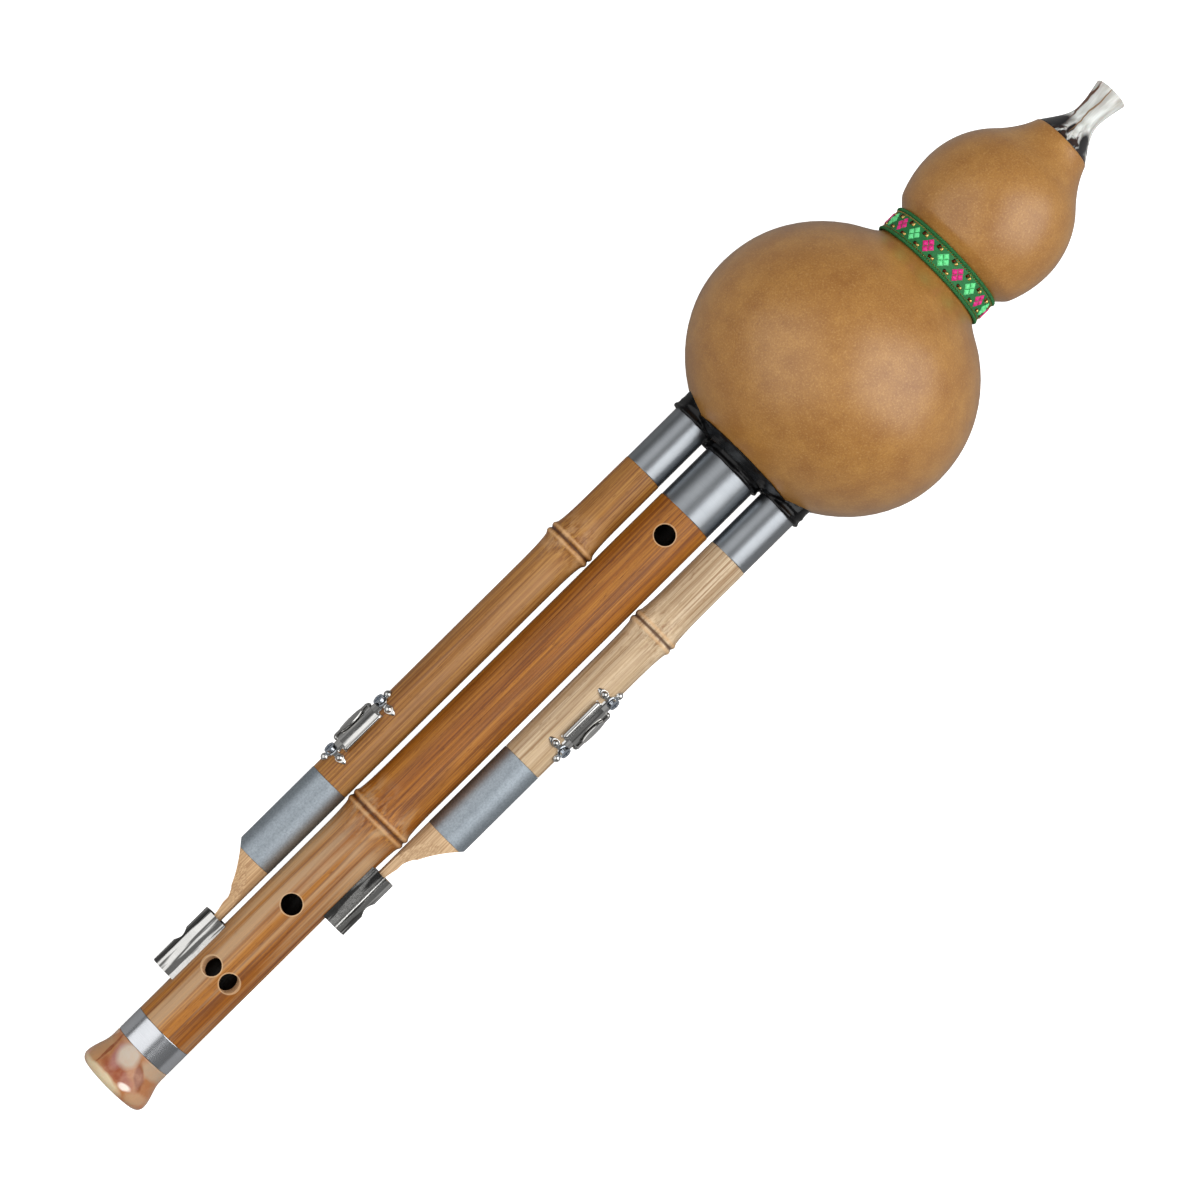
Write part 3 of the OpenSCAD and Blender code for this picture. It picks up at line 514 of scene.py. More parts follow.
shaped = step("GeometryNodeSetPosition", moved)
welded = step("GeometryNodeMergeByDistance", {"Geometry": shaped, "Distance": WELD})
finish_tree(welded, given["Finish"], result)
print("tree:", turning.name)

# %% [markdown]
# A tree runs as a modifier. The result is kept as a plain mesh and the modifier goes, so the mesh
# holds what is seen. Merging and swinging can leave faces inside out, so the outward side is
# worked out again.

# %% Running a tree and keeping plain meshes


def applied(piece):
    """Replaces a piece's mesh with what its modifiers make of it"""
    depsgraph = bpy.context.evaluated_depsgraph_get()
    mesh = bpy.data.meshes.new_from_object(piece.evaluated_get(depsgraph), depsgraph=depsgraph)
    piece.modifiers.clear()
    piece.data = mesh
    mesh.name = piece.name
    return piece


def new_piece(name, mesh):
    piece = bpy.data.objects.new(name, mesh)
    scene.collection.objects.link(piece)
    return piece


def made_by(maker, name, source=None, **inputs):
    """Runs a tree on a mesh and keeps the result as a plain mesh object"""
    piece = new_piece(name, source or bpy.data.meshes.new(name))
    modifier = piece.modifiers.new(maker.name, "NODES")
    modifier.node_group = maker
    identifiers = {item.name: item.identifier for item in maker.interface.items_tree
                   if item.in_out == "INPUT"}
    for label, value in inputs.items():
        modifier[identifiers[label.replace("_", " ")]] = value
    return applied(piece)


def face_out(piece):
    """Points every face outwards"""
    mesh = bmesh.new()
    mesh.from_mesh(piece.data)
    bmesh.ops.recalc_face_normals(mesh, faces=mesh.faces)
    mesh.to_mesh(piece.data)
    mesh.free()
    return piece


print("helpers: applied, new_piece, made_by, face_out")

# %% [markdown]
# A lathe turns a piece in one go, and so does this: an outline, a finish and a place give the
# piece, laid down with the instrument. When it is ready, it is told which body it moves with and
# which pieces of the model it stands for.

# %% Turning a piece and handing it over


def turn_piece(name, points, look, place=Matrix.Identity(4), around=96, **wobble):
    """Swings a closed outline round the z axis of a place in the upright frame"""
    mesh = bpy.data.meshes.new("outline")
    mesh.from_pydata([(r * MM, 0.0, w * MM) for r, w in [*points, points[0]]], [], [])
    piece = face_out(made_by(turning, name, mesh, Around=around, Finish=look, **wobble))
    piece.data.transform(LAID @ place)
    return piece


def shifted_to(y=0.0, w=0.0):
    """A place beside the melody pipe's axis and up along it, in millimetres"""
    return Matrix.Translation((0, y * MM, w * MM))


def finish_piece(piece, body, slot, *nodes, sharp=38):
    """Sharp edges stay sharp, then the piece rides on its body and stands for its nodes"""
    if sharp:
        piece.data.shade_smooth()
        piece.data.set_sharp_from_angle(angle=math.radians(sharp))
    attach(piece, body)
    if nodes:
        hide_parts(*nodes)
    print(f"{piece.name}: {len(piece.data.polygons)} faces")
    return piece


at_drone = {kind: shifted_to(drone_y[kind]) for kind in KINDS}
print("drones' axes are moved", {kind: round(y, 2) for kind, y in drone_y.items()}, "mm aside")

# %% [markdown]
# Holes in the real pieces are drilled. Faces could be cut open by hand, but a Boolean with a rod is
# drilling too: it leaves a clean edge and a wall inside, which keeps the rod's finish.

# %% Cutting with one or more solids


def joined(name, pieces):
    """Several mesh objects as one; each face keeps its finish"""
    if len(pieces) > 1:
        with bpy.context.temp_override(active_object=pieces[0], selected_editable_objects=pieces):
            bpy.ops.object.join()
    pieces[0].name = name
    pieces[0].data.name = name
    return pieces[0]


def cut(piece, *cutters):
    """Takes each cutter out of a piece; the new faces keep the cutter's finish"""
    for cutter in cutters:
        modifier = piece.modifiers.new("cut", "BOOLEAN")
        modifier.operation = "DIFFERENCE"
        modifier.solver = "EXACT"
        modifier.material_mode = "TRANSFER"
        modifier.object = cutter
        applied(piece)
        bpy.data.objects.remove(cutter)
    return piece


def rod(name, radius, low, high, look, place=Matrix.Identity(4), around=48):
    """A closed round rod along the z axis of a place"""
    points = [(0, low), (radius, low), (radius, high), (0, high)]
    return turn_piece(name, points, look, place, around)


print("helpers: joined, cut, rod")

# %% [markdown]
# The gourd is one closed shell with a wall, and it grew, so its round is not quite even. Its two
# side sockets, which the wax fills, are cut. The middle one is part of the outline already.

# %% Gourd
GOURD_WOBBLE = 0.5
SOCKET_GAP = 0.05
DRONE_COLLAR = 1.2
gourd_low = foot_of("gourd_shell")
gourd_top = top_of("gourd_shell")
wax_top = top_of("wax_seat")
ferrule_r = {kind: float(extent(kind + "_drone_ferrule")[1][0]) for kind in KINDS}
main_ferrule_r = float(extent("main_ferrule")[1][0])
gourd = turn_piece("gourd", smoothed(gourd_outline, 0.3, 3.0), gourd_skin, around=160,
                   Wobble=GOURD_WOBBLE * MM, Wobble_Size=0.04, Seed=3.0)
socket_wall = DRONE_COLLAR + SOCKET_GAP
cut(gourd, *[rod("socket", ferrule_r[kind] + socket_wall, gourd_low - 1, wax_top + 2, gourd_skin,
                 at_drone[kind]) for kind in KINDS])
finish_piece(gourd, "gourd", "gourd", "gourd_shell")

# %% [markdown]
# Horn and resin each have patches that belong to this one instrument: a flame of dark horn here,
# a pale cloud there. They are painted as soft ovals on the back, in millimetres, over a random
# ground that covers the rest.

# %% Painted patches
BORDER_PUSH = 1.3
LOBE_BORDER = (0.66, 1.1)


def moved_little(where):
    """Places that a soft noise pushes about by a millimetre, for hand-poured borders"""
    push = step("ShaderNodeTexNoise", {"Vector": where, "Scale": 0.25, "Detail": 1.0}, 1)
    centred = vector_calc("SUBTRACT", push, (0.5, 0.5, 0.5))
    return shifted(where, scaled(centred, (BORDER_PUSH,) * 3))


def lobe_mask(place, across, up, half_across, half_up, degrees):
    """1 inside an oval patch on the back; across counts towards the short drone"""
    inputs = {"Vector": vector_of(times(place[1], -1.0), place[2]), "Location": (across, up, 0),
              "Rotation": (0, 0, math.radians(degrees)), "Scale": (half_across, half_up, 1)}
    reach = length_of(step("ShaderNodeMapping", inputs, vector_type="TEXTURE"))
    return spread(reach, *LOBE_BORDER, 1.0, 0.0)


def painted(colour, where, patches_at):
    """Ovals one over the other; each is what lobe_mask takes after place, then a tone"""
    place = parts_of(moved_little(where))
    on_back = calc("LESS_THAN", parts_of(where)["X"], 0.0)
    for *oval, shade in patches_at:
        colour = mix(times(lobe_mask(place, *oval), on_back), colour, shade)
    return colour


print("borders of painted patches move by", BORDER_PUSH / 2, "mm")

# %% [markdown]
# The mouthpiece is turned from horn. Its foot is nearly black, and from there dark brown streaks
# run up into milky white and grey. The heights of its patches count from its foot.

# %% Horn
HORN_PATCHES = [
    (-6.2, 3.0, 2.5, 6.2, -30, (16, 13, 15)),
    (-1.0, 4.2, 0.9, 3.2, 0, (24, 18, 18)),
    (5.5, 3.4, 1.6, 4.8, 28, (16, 13, 15)),
    (-0.7, 14.0, 0.3, 12.0, 0, (120, 92, 66)),
    (-4.2, 14.6, 0.5, 9.0, 3, (84, 52, 30))]


def make_horn(foot, tip):
    material, shader = new_look("horn", Roughness=0.35, Coat_Weight=0.3, Coat_Roughness=0.2,
                                Subsurface_Weight=0.08)
    where = upright_mm(shader)
    height = parts_of(where)["Z"]
    streaks = noise(scaled(where, (0.5, 0.5, 0.07)), 1.0, 4.0, 0.55, 0.6)
    rise = spread(height, foot, tip, 0.56, -0.7)
    dark_mask = spread(calc("ADD", rise, streaks), 0.84, 0.98)
    finer = noise(scaled(where, (0.5, 0.5, 0.06)), 1.0)
    pale = mix(spread(finer, 0.4, 0.65), (208, 208, 204), (164, 162, 156))
    brown = mix(spread(streaks, 0.4, 0.6), (9, 8, 10), (46, 28, 22))
    colour = mix(dark_mask, pale, brown)
    from_foot = vector_calc("SUBTRACT", where, (0.0, 0.0, foot))
    feed(shader, Base_Color=painted(colour, from_foot, HORN_PATCHES))
    return material


horn = make_horn(gourd_top, total_len)
horn_outline = smoothed(outline("mouthpiece"), 0.1, 2.0)
finish_piece(turn_piece("mouthpiece_horn", horn_outline, horn), "gourd", "horn", "mouthpiece")

# %% [markdown]
# Each pipe is another piece of bamboo, so the finish is a function: the same fibres with other
# tones and another seed. Round the node the skin keeps a whitish bloom and some rust-brown spots;
# the node's two ridges get a pale painted highlight, and a dark line is painted between them.
# Below the node pale streaks run along the skin, on the melody pipe most of all: a painted sheen.
# Round each hole in the melody pipe's back a thin pale rim is a painted highlight, and the bore
# inside every pipe is darkened with painted shade.

# %% Bamboo
RIDGE_UP = 1.4
SHEEN_FADE = 12.0


def rim_highlight_mask(where, hole_y, hole_w, radius, rim):
    """1 on a thin rim round a hole in the back, seen straight on, for a painted highlight"""
    place = parts_of(where)
    flat = vector_of(0.0, place[1], place[2])
    away = vector_calc("DISTANCE", flat, (0, hole_y, hole_w), "Value")
    edge = spread(away, radius + rim * 0.5, radius + rim, 1.0, 0.0)
    return times(edge, calc("LESS_THAN", place[0], 0.0))


def make_bamboo(name, axis_y, node_w, bore, tones, seed, holes=(), bloomed=0.75, painted_sheen=0.25):
    """The skin's base, light and dark bands, and a whitish tone for the node and painted sheen"""
    base, light, dark, bloom_and_sheen_tone = tones
    material, shader = new_look(name, Coat_Weight=0.08, Coat_Roughness=0.28,
                                Specular_IOR_Level=0.35)
    where = upright_mm(shader, axis_y)
    grain = use_group(fibres, Vector=where, Pitch=1.1, Seed=seed)
    colour = mix(grain["Bands"], base, light)
    for mark, amount in (("Grain", 0.55), ("Lines", 0.75), ("Pores", 0.8)):
        colour = mix(times(grain[mark], amount), colour, dark)
    place = parts_of(where)
    height = place["Z"]
    from_node = calc("ABSOLUTE", calc("SUBTRACT", height, node_w))
    near = spread(from_node, 1.5, 13.0, 1.0, 0.0)
    cloud = noise(scaled(where, (0.22, 0.22, 0.13)), 1.0, 4.0, 0.6)
    bloom_mask = times(near, spread(cloud, 0.46, 0.66, 0.0, bloomed))
    # Painted sheen: pale streaks below the node, strongest on the melody pipe
    below = spread(height, node_w - SHEEN_FADE, node_w, painted_sheen, 0.0)
    sheen_streaks = noise(scaled(where, (0.16, 0.16, 0.006)), 1.0, 3.0, 0.6)
    painted_sheen_mask = times(below, spread(sheen_streaks, 0.42, 0.56))
    colour = mix(calc("MAXIMUM", bloom_mask, painted_sheen_mask), colour, bloom_and_sheen_tone)
    spots = noise(scaled(where, (0.5, 0.5, 0.3)), 1.0, 3.0, 0.7)
    rust = times(near, spread(spots, 0.58, 0.72, 0.0, 0.6))
    colour = mix(rust, colour, (120, 66, 30))
    # Painted highlight: a pale ring on each of the node's two ridges; then a dark line round its middle
    from_ridge = calc("ABSOLUTE", calc("SUBTRACT", from_node, RIDGE_UP))
    colour = mix(spread(from_ridge, 0.1, 0.8, 0.5, 0.0), colour, (206, 162, 112))
    colour = mix(spread(from_node, 0.25, 0.7, 0.85, 0.0), colour, (72, 38, 16))
    for hole in holes:
        # Painted highlight: a pale rim round each hole in the back
        colour = mix(times(rim_highlight_mask(where, *hole), 0.45), colour, (214, 182, 142))
    # Painted shade: the bore is darkened, as shade falls inside it
    from_axis = length_of(vector_of(place[0], place[1]))
    colour = mix(spread(from_axis, bore + 0.1, bore + 0.3, 1.0, 0.0), colour, (34, 20, 10))
    feed(shader, Base_Color=colour, Roughness=spread(grain["Bands"], 0, 1, 0.36, 0.5))
    bump(shader, calc("SUBTRACT", grain["Grain"], grain["Lines"]), 0.3, 0.00012)
    return material


print("a node's two ridges are", 2 * RIDGE_UP, "mm apart")

# %% [markdown]
# Where bamboo is cut, in the tone holes and on the tails, the polish is gone and the raw fibres
# are paler and rougher.

# %% Cut bamboo


def make_cut_bamboo(name, axis_y, base, dark, seed):
    material, shader = new_look(name, Roughness=0.62)
    where = upright_mm(shader, axis_y)
    grain = use_group(fibres, Vector=where, Pitch=0.8, Seed=seed)
    colour = mix(times(grain["Grain"], 0.6), base, dark)
    colour = mix(times(grain["Lines"], 0.45), colour, dark)
    feed(shader, Base_Color=colour)
    bump(shader, grain["Grain"], 0.2, 0.0001)
    return material


TAIL_TONES = {"long": ((196, 162, 120), (134, 92, 54), 9.0),
              "short": ((204, 174, 136), (146, 106, 66), 29.0)}
hole_wall = make_cut_bamboo("hole_wall", 0.0, (206, 168, 128), (160, 112, 70), 5.0)
reed_bamboo = make_cut_bamboo("cut_reed_bamboo", 0.0, (200, 164, 116), (160, 120, 76), 13.0)
tail_look = {kind: make_cut_bamboo(kind + "_tail", drone_y[kind], *TAIL_TONES[kind])
             for kind in KINDS}
print("finishes:", hole_wall.name, reed_bamboo.name)

# %% [markdown]
# The melody pipe has a thumb hole, a vent hole and two holes for a cord in its back. Their edges
# get a pale painted highlight, so the finish has to know where they are. The bamboo's node and
# bore are read off the outline.

# %% The melody pipe's bamboo
FINGER_R = 3.5
CORD_R = 3.3
THUMB_DROP = 9.2
VENT_UP = 56.8
CORD_UP = 25.6
CORD_TURN = 22.0
RIM = 0.4
MAIN_TONES = ((147, 86, 16), (172, 112, 34), (95, 47, 11), (184, 156, 120))
pipe_low = top_of("bell_ring")
pipe_top = foot_of("main_ferrule")


def bore_of(points):
    return min(r for r, _ in points)


def widest_ring(points, low, high):
    """Height of the bamboo's node: the middle of the widest rings between two heights"""
    inside = [(r, w) for r, w in points if low < w < high]
    widest = max(r for r, _ in inside)
    heights = [w for r, w in inside if r > widest - SAME]
    return sum(heights) / len(heights)


main_outline = outline("main_pipe")
main_node = widest_ring(main_outline, pipe_low + 1, pipe_top - 1)
pipe_r = main_outline[len(main_outline) // 4][0]
vent_w, thumb_w, cord_w = pipe_low + VENT_UP, pipe_top - THUMB_DROP, pipe_low + CORD_UP
cord_y = pipe_r * math.sin(math.radians(CORD_TURN))
back_holes = [(0.0, thumb_w, FINGER_R, RIM), (0.0, vent_w, FINGER_R, RIM),
              (cord_y, cord_w, CORD_R, RIM), (-cord_y, cord_w, CORD_R, RIM)]
main_bamboo = make_bamboo("main_bamboo", 0.0, main_node, bore_of(main_outline), MAIN_TONES, 3.0,
                          back_holes, bloomed=0.6, painted_sheen=0.6)
print("melody pipe's node at", round(main_node, 1), "pipe's radius", round(pipe_r, 2))

# %% [markdown]
# Six finger holes run down the front, the lowest one beyond the node. Every hole is a rod that
# points out through the wall at its own angle. The rods that don't touch are taken out together,
# and the second cord hole, which lies close to the first, follows in its own cut.

# %% Drilling the melody pipe
FIRST_FINGER_DROP = 30.0
FINGER_PITCH = 22.4
LOWEST_FINGER_DROP = 18.6
DRILL_END = 14.0


def hole_rod(radius, w, degrees, axis_y=0.0, start=5.0):
    """A rod out through the wall at an angle from the front"""
    to_front = Matrix.Rotation(math.pi / 2, 4, "Y")
    place = shifted_to(axis_y, w) @ Matrix.Rotation(math.radians(degrees), 4, "Z") @ to_front
    return rod("hole", radius, start, DRILL_END, hole_wall, place)


finger_holes = [pipe_top - FIRST_FINGER_DROP - i * FINGER_PITCH for i in range(5)]
finger_holes.append(main_node - LOWEST_FINGER_DROP)
main_pipe = turn_piece("melody_pipe_bamboo", smoothed(main_outline, 0.15), main_bamboo, around=144,
                       Wobble=0.15 * MM, Wobble_Size=0.03, Seed=8.0)
holes = [hole_rod(FINGER_R, w, 0) for w in finger_holes]
holes += [hole_rod(FINGER_R, w, 180) for w in (thumb_w, vent_w)]
holes += [hole_rod(CORD_R, cord_w, 180 + CORD_TURN)]
cut(main_pipe, joined("holes", holes), hole_rod(CORD_R, cord_w, 180 - CORD_TURN))
finish_piece(main_pipe, "melody_pipe", "main_bamboo", "main_pipe")

# %% [markdown]
# The drones are thinner canes, one warm brown and one pale, each with one node. Under its switch a
# drone has a tone hole between two screw holes, turned out to the side where a thumb reaches it.

# %% Drone pipes
SWITCH_TURN = 62
SCREW_GAP = 21.6
SCREW_HOLE_R = 0.9
TONE_HOLE_R = 1.4
TONE_HOLE_DROP = 3.0
DRONE_TONES = {
    "long": (((143, 91, 28), (168, 120, 56), (100, 54, 17), (184, 145, 102)), 17.0),
    "short": (((180, 154, 118), (201, 182, 154), (132, 98, 62), (222, 198, 164)), 41.0)}
switch_w = {kind: middle(kind + "_switch_frame")[2] for kind in KINDS}
switch_out = {"long": 180 - SWITCH_TURN, "short": 180 + SWITCH_TURN}
for kind in KINDS:
    drone, axis_y, at = kind + "_drone", drone_y[kind], switch_w[kind]
    points = outline(drone + "_pipe", axis_y)
    node_w = widest_ring(points, top_of(drone + "_sleeve") + 1, foot_of(drone + "_ferrule") - 1)
    look = make_bamboo(kind + "_bamboo", axis_y, node_w, bore_of(points), *DRONE_TONES[kind])
    pipe = turn_piece(drone + "_bamboo", smoothed(points, 0.15), look, at_drone[kind], 128,
                      Wobble=0.12 * MM, Wobble_Size=0.03, Seed=20.0 + at)
    drilled = [hole_rod(radius, at + up, switch_out[kind], axis_y, 3.0) for radius, up in (
        (TONE_HOLE_R, -TONE_HOLE_DROP), (SCREW_HOLE_R, -SCREW_GAP / 2),
        (SCREW_HOLE_R, SCREW_GAP / 2))]
    cut(pipe, joined("drilled", drilled))
    finish_piece(pipe, drone, kind + "_bamboo", drone + "_pipe")
    print(drone, "has its node at", round(node_w, 1))

# %% [markdown]
# All the metal is thin sheet. The ferrules are steel polished round and round, the sleeves are
# matte zinc-grey, and the switches and clips are nickel plated. One function covers them: tiny
# lines round the tube, smudges and a colour, and on the nickel some dark streaks along the part,
# which are a painted reflection of the dark things of a room that bright plating mirrors.

# %% Metals


def make_metal(name, axis_y, base, shade, roughness, lined, smudge=0.12, speckle=0.0, streak=0.0):
    material, shader = new_look(name, Metallic=1.0)
    where = upright_mm(shader, axis_y)
    marks = use_group(patches, Vector=where, Size=7.0, Contrast=0.3)
    lines = noise(scaled(where, (0.12, 0.12, 6.0)), 1.0, 4.0, 0.7)
    specks = noise(where, 1.6, 3.0, 0.7)
    colour = mix(times(marks["Patch"], 0.3), base, shade)
    colour = mix(spread(specks, 0.4, 0.65, 0.0, speckle), colour, shade)
    colour = mix(spread(lines, 0.5, 0.75, 0.0, 0.3), colour, shade)
    # Painted reflection: dark streaks along the part, as bright plating mirrors a dark room
    drawn = noise(scaled(where, (0.45, 0.45, 0.03)), 1.0, 2.0, 0.6)
    colour = mix(spread(drawn, 0.47, 0.53, 0.0, streak), colour, (34, 34, 33))
    smudges = spread(marks["Fleck"], 0, 1, roughness - smudge / 2, roughness + smudge / 2)
    feed(shader, Base_Color=colour, Roughness=smudges)
    bump(shader, lines, lined, 0.00003)
    return material


ring_metal = make_metal("bell_ring_metal", 0.0, (222, 224, 228), (186, 190, 196), 0.22, 0.03, 0.0)
# The nickel's dark streaks are a painted reflection
nickel = make_metal("nickel", 0.0, (226, 225, 222), (170, 169, 166), 0.12, 0.0, 0.08, streak=0.85)
switch_nickel = make_metal("nickel_switch", 0.0, (232, 231, 228), (180, 179, 176), 0.12, 0.0,
                           0.08, streak=0.4)
screw_zinc = make_metal("screw_zinc", 0.0, (196, 204, 214), (140, 152, 166), 0.18, 0.0, 0.06)
reed_brass = make_metal("reed_brass", 0.0, (214, 176, 96), (170, 130, 60), 0.28, 0.1)
ferrule_y = {"main_ferrule": 0.0, **{kind + "_drone_ferrule": drone_y[kind] for kind in KINDS}}
ferrule_steel = {node: make_metal(node + "_steel", y, (162, 166, 170), (130, 135, 141), 0.34, 0.06,
                                  0.04) for node, y in ferrule_y.items()}
sleeve_zinc = {kind: make_metal("sleeve_zinc_" + kind, y, (184, 193, 200), (138, 147, 156), 0.5,
                                0.06, 0.06, 0.6) for kind, y in drone_y.items()}
print("finishes:", len(bpy.data.materials))

# %% [markdown]
# The three ferrules under the gourd and the ring above the bell are rolled and soldered tubes. All
# four are round, so they are turned too, with a fine edge that catches the light.

# %% Ferrules and bell ring
for node, axis_y in ferrule_y.items():
    tube = turn_piece(node + "_tube", smoothed(outline(node, axis_y), 0.12), ferrule_steel[node],
                      shifted_to(axis_y), 128)
    finish_piece(tube, "gourd", "ferrule_steel", node)
ring = turn_piece("bell_ring_band", smoothed(outline("bell_ring"), 0.12), ring_metal, around=128)
finish_piece(ring, "melody_pipe", "bell_ring_metal", "bell_ring")

# %% [markdown]
# Sheet metal folded into clips and switches, and the tails that a knife has scooped out, aren't
# turned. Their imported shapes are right, so a copy is merged, its flat faces are made whole, and a
# small bevel breaks every sharp edge, which is what catches the light on a real part. Normals that
# are weighted by area keep the flat faces looking flat.

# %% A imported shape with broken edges
MERGE = 1e-6
FLAT = math.radians(0.5)
BEVELLED = math.radians(35)


def edged_copy(node, name, look, width, segments):
    """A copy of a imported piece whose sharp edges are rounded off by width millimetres"""
    mesh = bmesh.new()
    mesh.from_mesh(cad[node].data)
    bmesh.ops.remove_doubles(mesh, verts=mesh.verts, dist=MERGE)
    bmesh.ops.dissolve_limit(mesh, angle_limit=FLAT, verts=mesh.verts, edges=mesh.edges)
    data = bpy.data.meshes.new(name)
    mesh.to_mesh(data)
    mesh.free()
    data.materials.clear()
    data.materials.append(look)
    data.shade_smooth()
    piece = new_piece(name, data)
    bevel = piece.modifiers.new("edges", "BEVEL")
    bevel.width = width * MM
    bevel.segments = segments
    bevel.limit_method = "ANGLE"
    bevel.angle_limit = BEVELLED
    flat_shading = piece.modifiers.new("flat faces", "WEIGHTED_NORMAL")
    flat_shading.weight = 100
    return applied(piece)


print("helper: edged_copy")

# %% [markdown]
# Each drone has five such pieces: the rolled sleeve, the scooped tail, the clip that takes the
# tail's tongue, the switch's plate and its sliding leaf. A row gives each one its finish, its bevel
# and the body that it moves with. The clip is nailed to the melody pipe and the leaf slides.

# %% Sleeves, tails, clips and switches
for kind in KINDS:
    drone, switch = kind + "_drone", kind + "_switch"
    slider = kind + "_slider"
    for node, name, look, width, segments, body, slot in (
            (drone + "_sleeve", "sleeve_tube", sleeve_zinc[kind], 0.08, 2, drone, "sleeve_zinc"),
            (drone + "_tail", "tail_cut", tail_look[kind], 0.2, 3, drone, "tail_bamboo"),
            (drone + "_clip", "clip_folded", nickel, 0.4, 4, "melody_pipe", "nickel"),
            (switch + "_frame", "switch_plate", switch_nickel, 0.1, 2, drone, "nickel"),
            (switch + "_slider", "switch_leaf", switch_nickel, 0.12, 2, slider, "nickel")):
        piece = edged_copy(node, f"{kind}_{name}", look, width, segments)
        finish_piece(piece, body, slot, node, sharp=None)

# %% [markdown]
# The bell is cast in resin that imitates agate: cream, pinkish grey and amber brown run into each
# other in curved patches under a soft gloss. The heights of its patches count from its mouth.
# The palest small oval on its back is a painted highlight.

# %% Agate resin
BELL_PATCHES = [
    (0.0, 7.0, 16.0, 12.0, 0, (158, 102, 60)),
    (-9.8, 7.0, 2.6, 6.0, 0, (162, 120, 80)),
    (6.8, 13.2, 4.6, 3.0, 0, (168, 140, 114)),
    (-1.0, 5.6, 7.0, 2.8, -4, (136, 68, 38)),
    (4.8, 9.2, 1.5, 5.4, 40, (126, 66, 26)),
    (-4.4, 9.4, 2.5, 4.8, 20, (150, 98, 90)),
    (-2.2, 11.6, 4.0, 4.4, 8, (180, 162, 146)),
    (-8.0, 9.0, 0.45, 7.0, 0, (124, 66, 30)),
    (-4.0, 1.4, 9.0, 1.9, -3, (196, 176, 142)),
    (8.8, 3.2, 3.8, 2.4, 30, (170, 132, 98)),
    # painted highlight: the last and palest oval
    (3.6, 3.8, 2.5, 1.3, 16, (226, 204, 192))]


def make_agate():
    material, shader = new_look("agate_resin", Roughness=0.3, Coat_Weight=0.25,
                                Coat_Roughness=0.12, Subsurface_Weight=0.1)
    where = upright_mm(shader)
    bent = step("ShaderNodeTexNoise", {"Vector": where, "Scale": 0.09, "Detail": 2.0}, 1)
    moved = shifted(where, scaled(bent, (16.0, 16.0, 16.0)))
    patch = noise(moved, 0.115, 1.5, 0.4)
    second = noise(scaled(moved, (1.0, -1.0, 1.2)), 0.1, 1.0, 0.4)
    colour = mix(spread(patch, 0.47, 0.54), (172, 104, 62), (206, 184, 160))
    colour = mix(spread(second, 0.56, 0.62), colour, (214, 186, 176))
    colour = mix(spread(second, 0.33, 0.40, 1.0, 0.0), colour, (150, 78, 40))
    colour = painted(colour, where, BELL_PATCHES)
    haze = noise(where, 0.5, 4.0, 0.6)
    colour = mix(spread(haze, 0.45, 0.7, 0.0, 0.25), colour, (190, 142, 108))
    feed(shader, Base_Color=colour)
    return material


agate_resin = make_agate()
bell = turn_piece("bell_resin", smoothed(outline("bell"), 0.3, 2.0), agate_resin, around=128)
finish_piece(bell, "melody_pipe", "agate_resin", "bell")

# %% [markdown]
# The wax that seals the tubes is black and was poured hot: glossy, with soft dents. The seals are
# rubber and the pads leather.

# %% Wax, rubber and leather


def make_plain(name, base, shade, size, **sockets):
    material, shader = new_look(name, **sockets)
    where = upright_mm(shader)
    marks = use_group(patches, Vector=where, Size=size, Contrast=0.2)
    feed(shader, Base_Color=mix(marks["Patch"], base, shade))
    bump(shader, marks["Fleck"], 0.25, 0.00015)
    return material


black_wax = make_plain("black_wax", (3, 3, 4), (8, 8, 9), 5.0, Roughness=0.22,
                       Specular_IOR_Level=0.3)
seal_rubber = make_plain("seal_rubber", (34, 32, 32), (48, 46, 46), 3.0, Roughness=0.6)
pad_leather = make_plain("pad_leather", (84, 58, 40), (62, 42, 30), 1.5, Roughness=0.75)
print("finishes:", black_wax.name, seal_rubber.name, pad_leather.name)

# %% [markdown]
# Hot wax is poured round the tubes and pressed on with a finger. Three turned collars, two webs
# between them and a skirt on the gourd's bottom give its rough form, drawn as if each was poured
# alone.

# %% Wax collars, webs and skirt
SKIRT_UP = 3.4
SKIRT_OUT = 0.45
SKIRT_IN = 1.0
SKIRT_LIFT = 0.3
WEB_R = 2.4
WEB_TOP = 4.0
WEBS = ((12.4, -3.0), (-12.4, 0.6))


def collar(ferrule_radius, rim_w, place, wall, bead, ridge_up):
    """Outline of one collar: a rolled bead at the rim, a throat and a second ridge above it"""
    hole = ferrule_radius + 0.05
    out = ferrule_radius + wall
    ridge = rim_w + ridge_up
    points = [(hole, rim_w + 0.1), (out + bead - 0.5, rim_w), (out + bead, rim_w + 0.5),
              (out + bead - 0.1, rim_w + 1.1), (out, rim_w + 1.6), (out - 0.1, ridge - 0.8),
              (out + 0.25, ridge), (out, ridge + 0.9), (out, wax_top), (hole, wax_top)]
    return turn_piece("collar", smoothed(points, 0.2, 1.0), black_wax, place, 72)


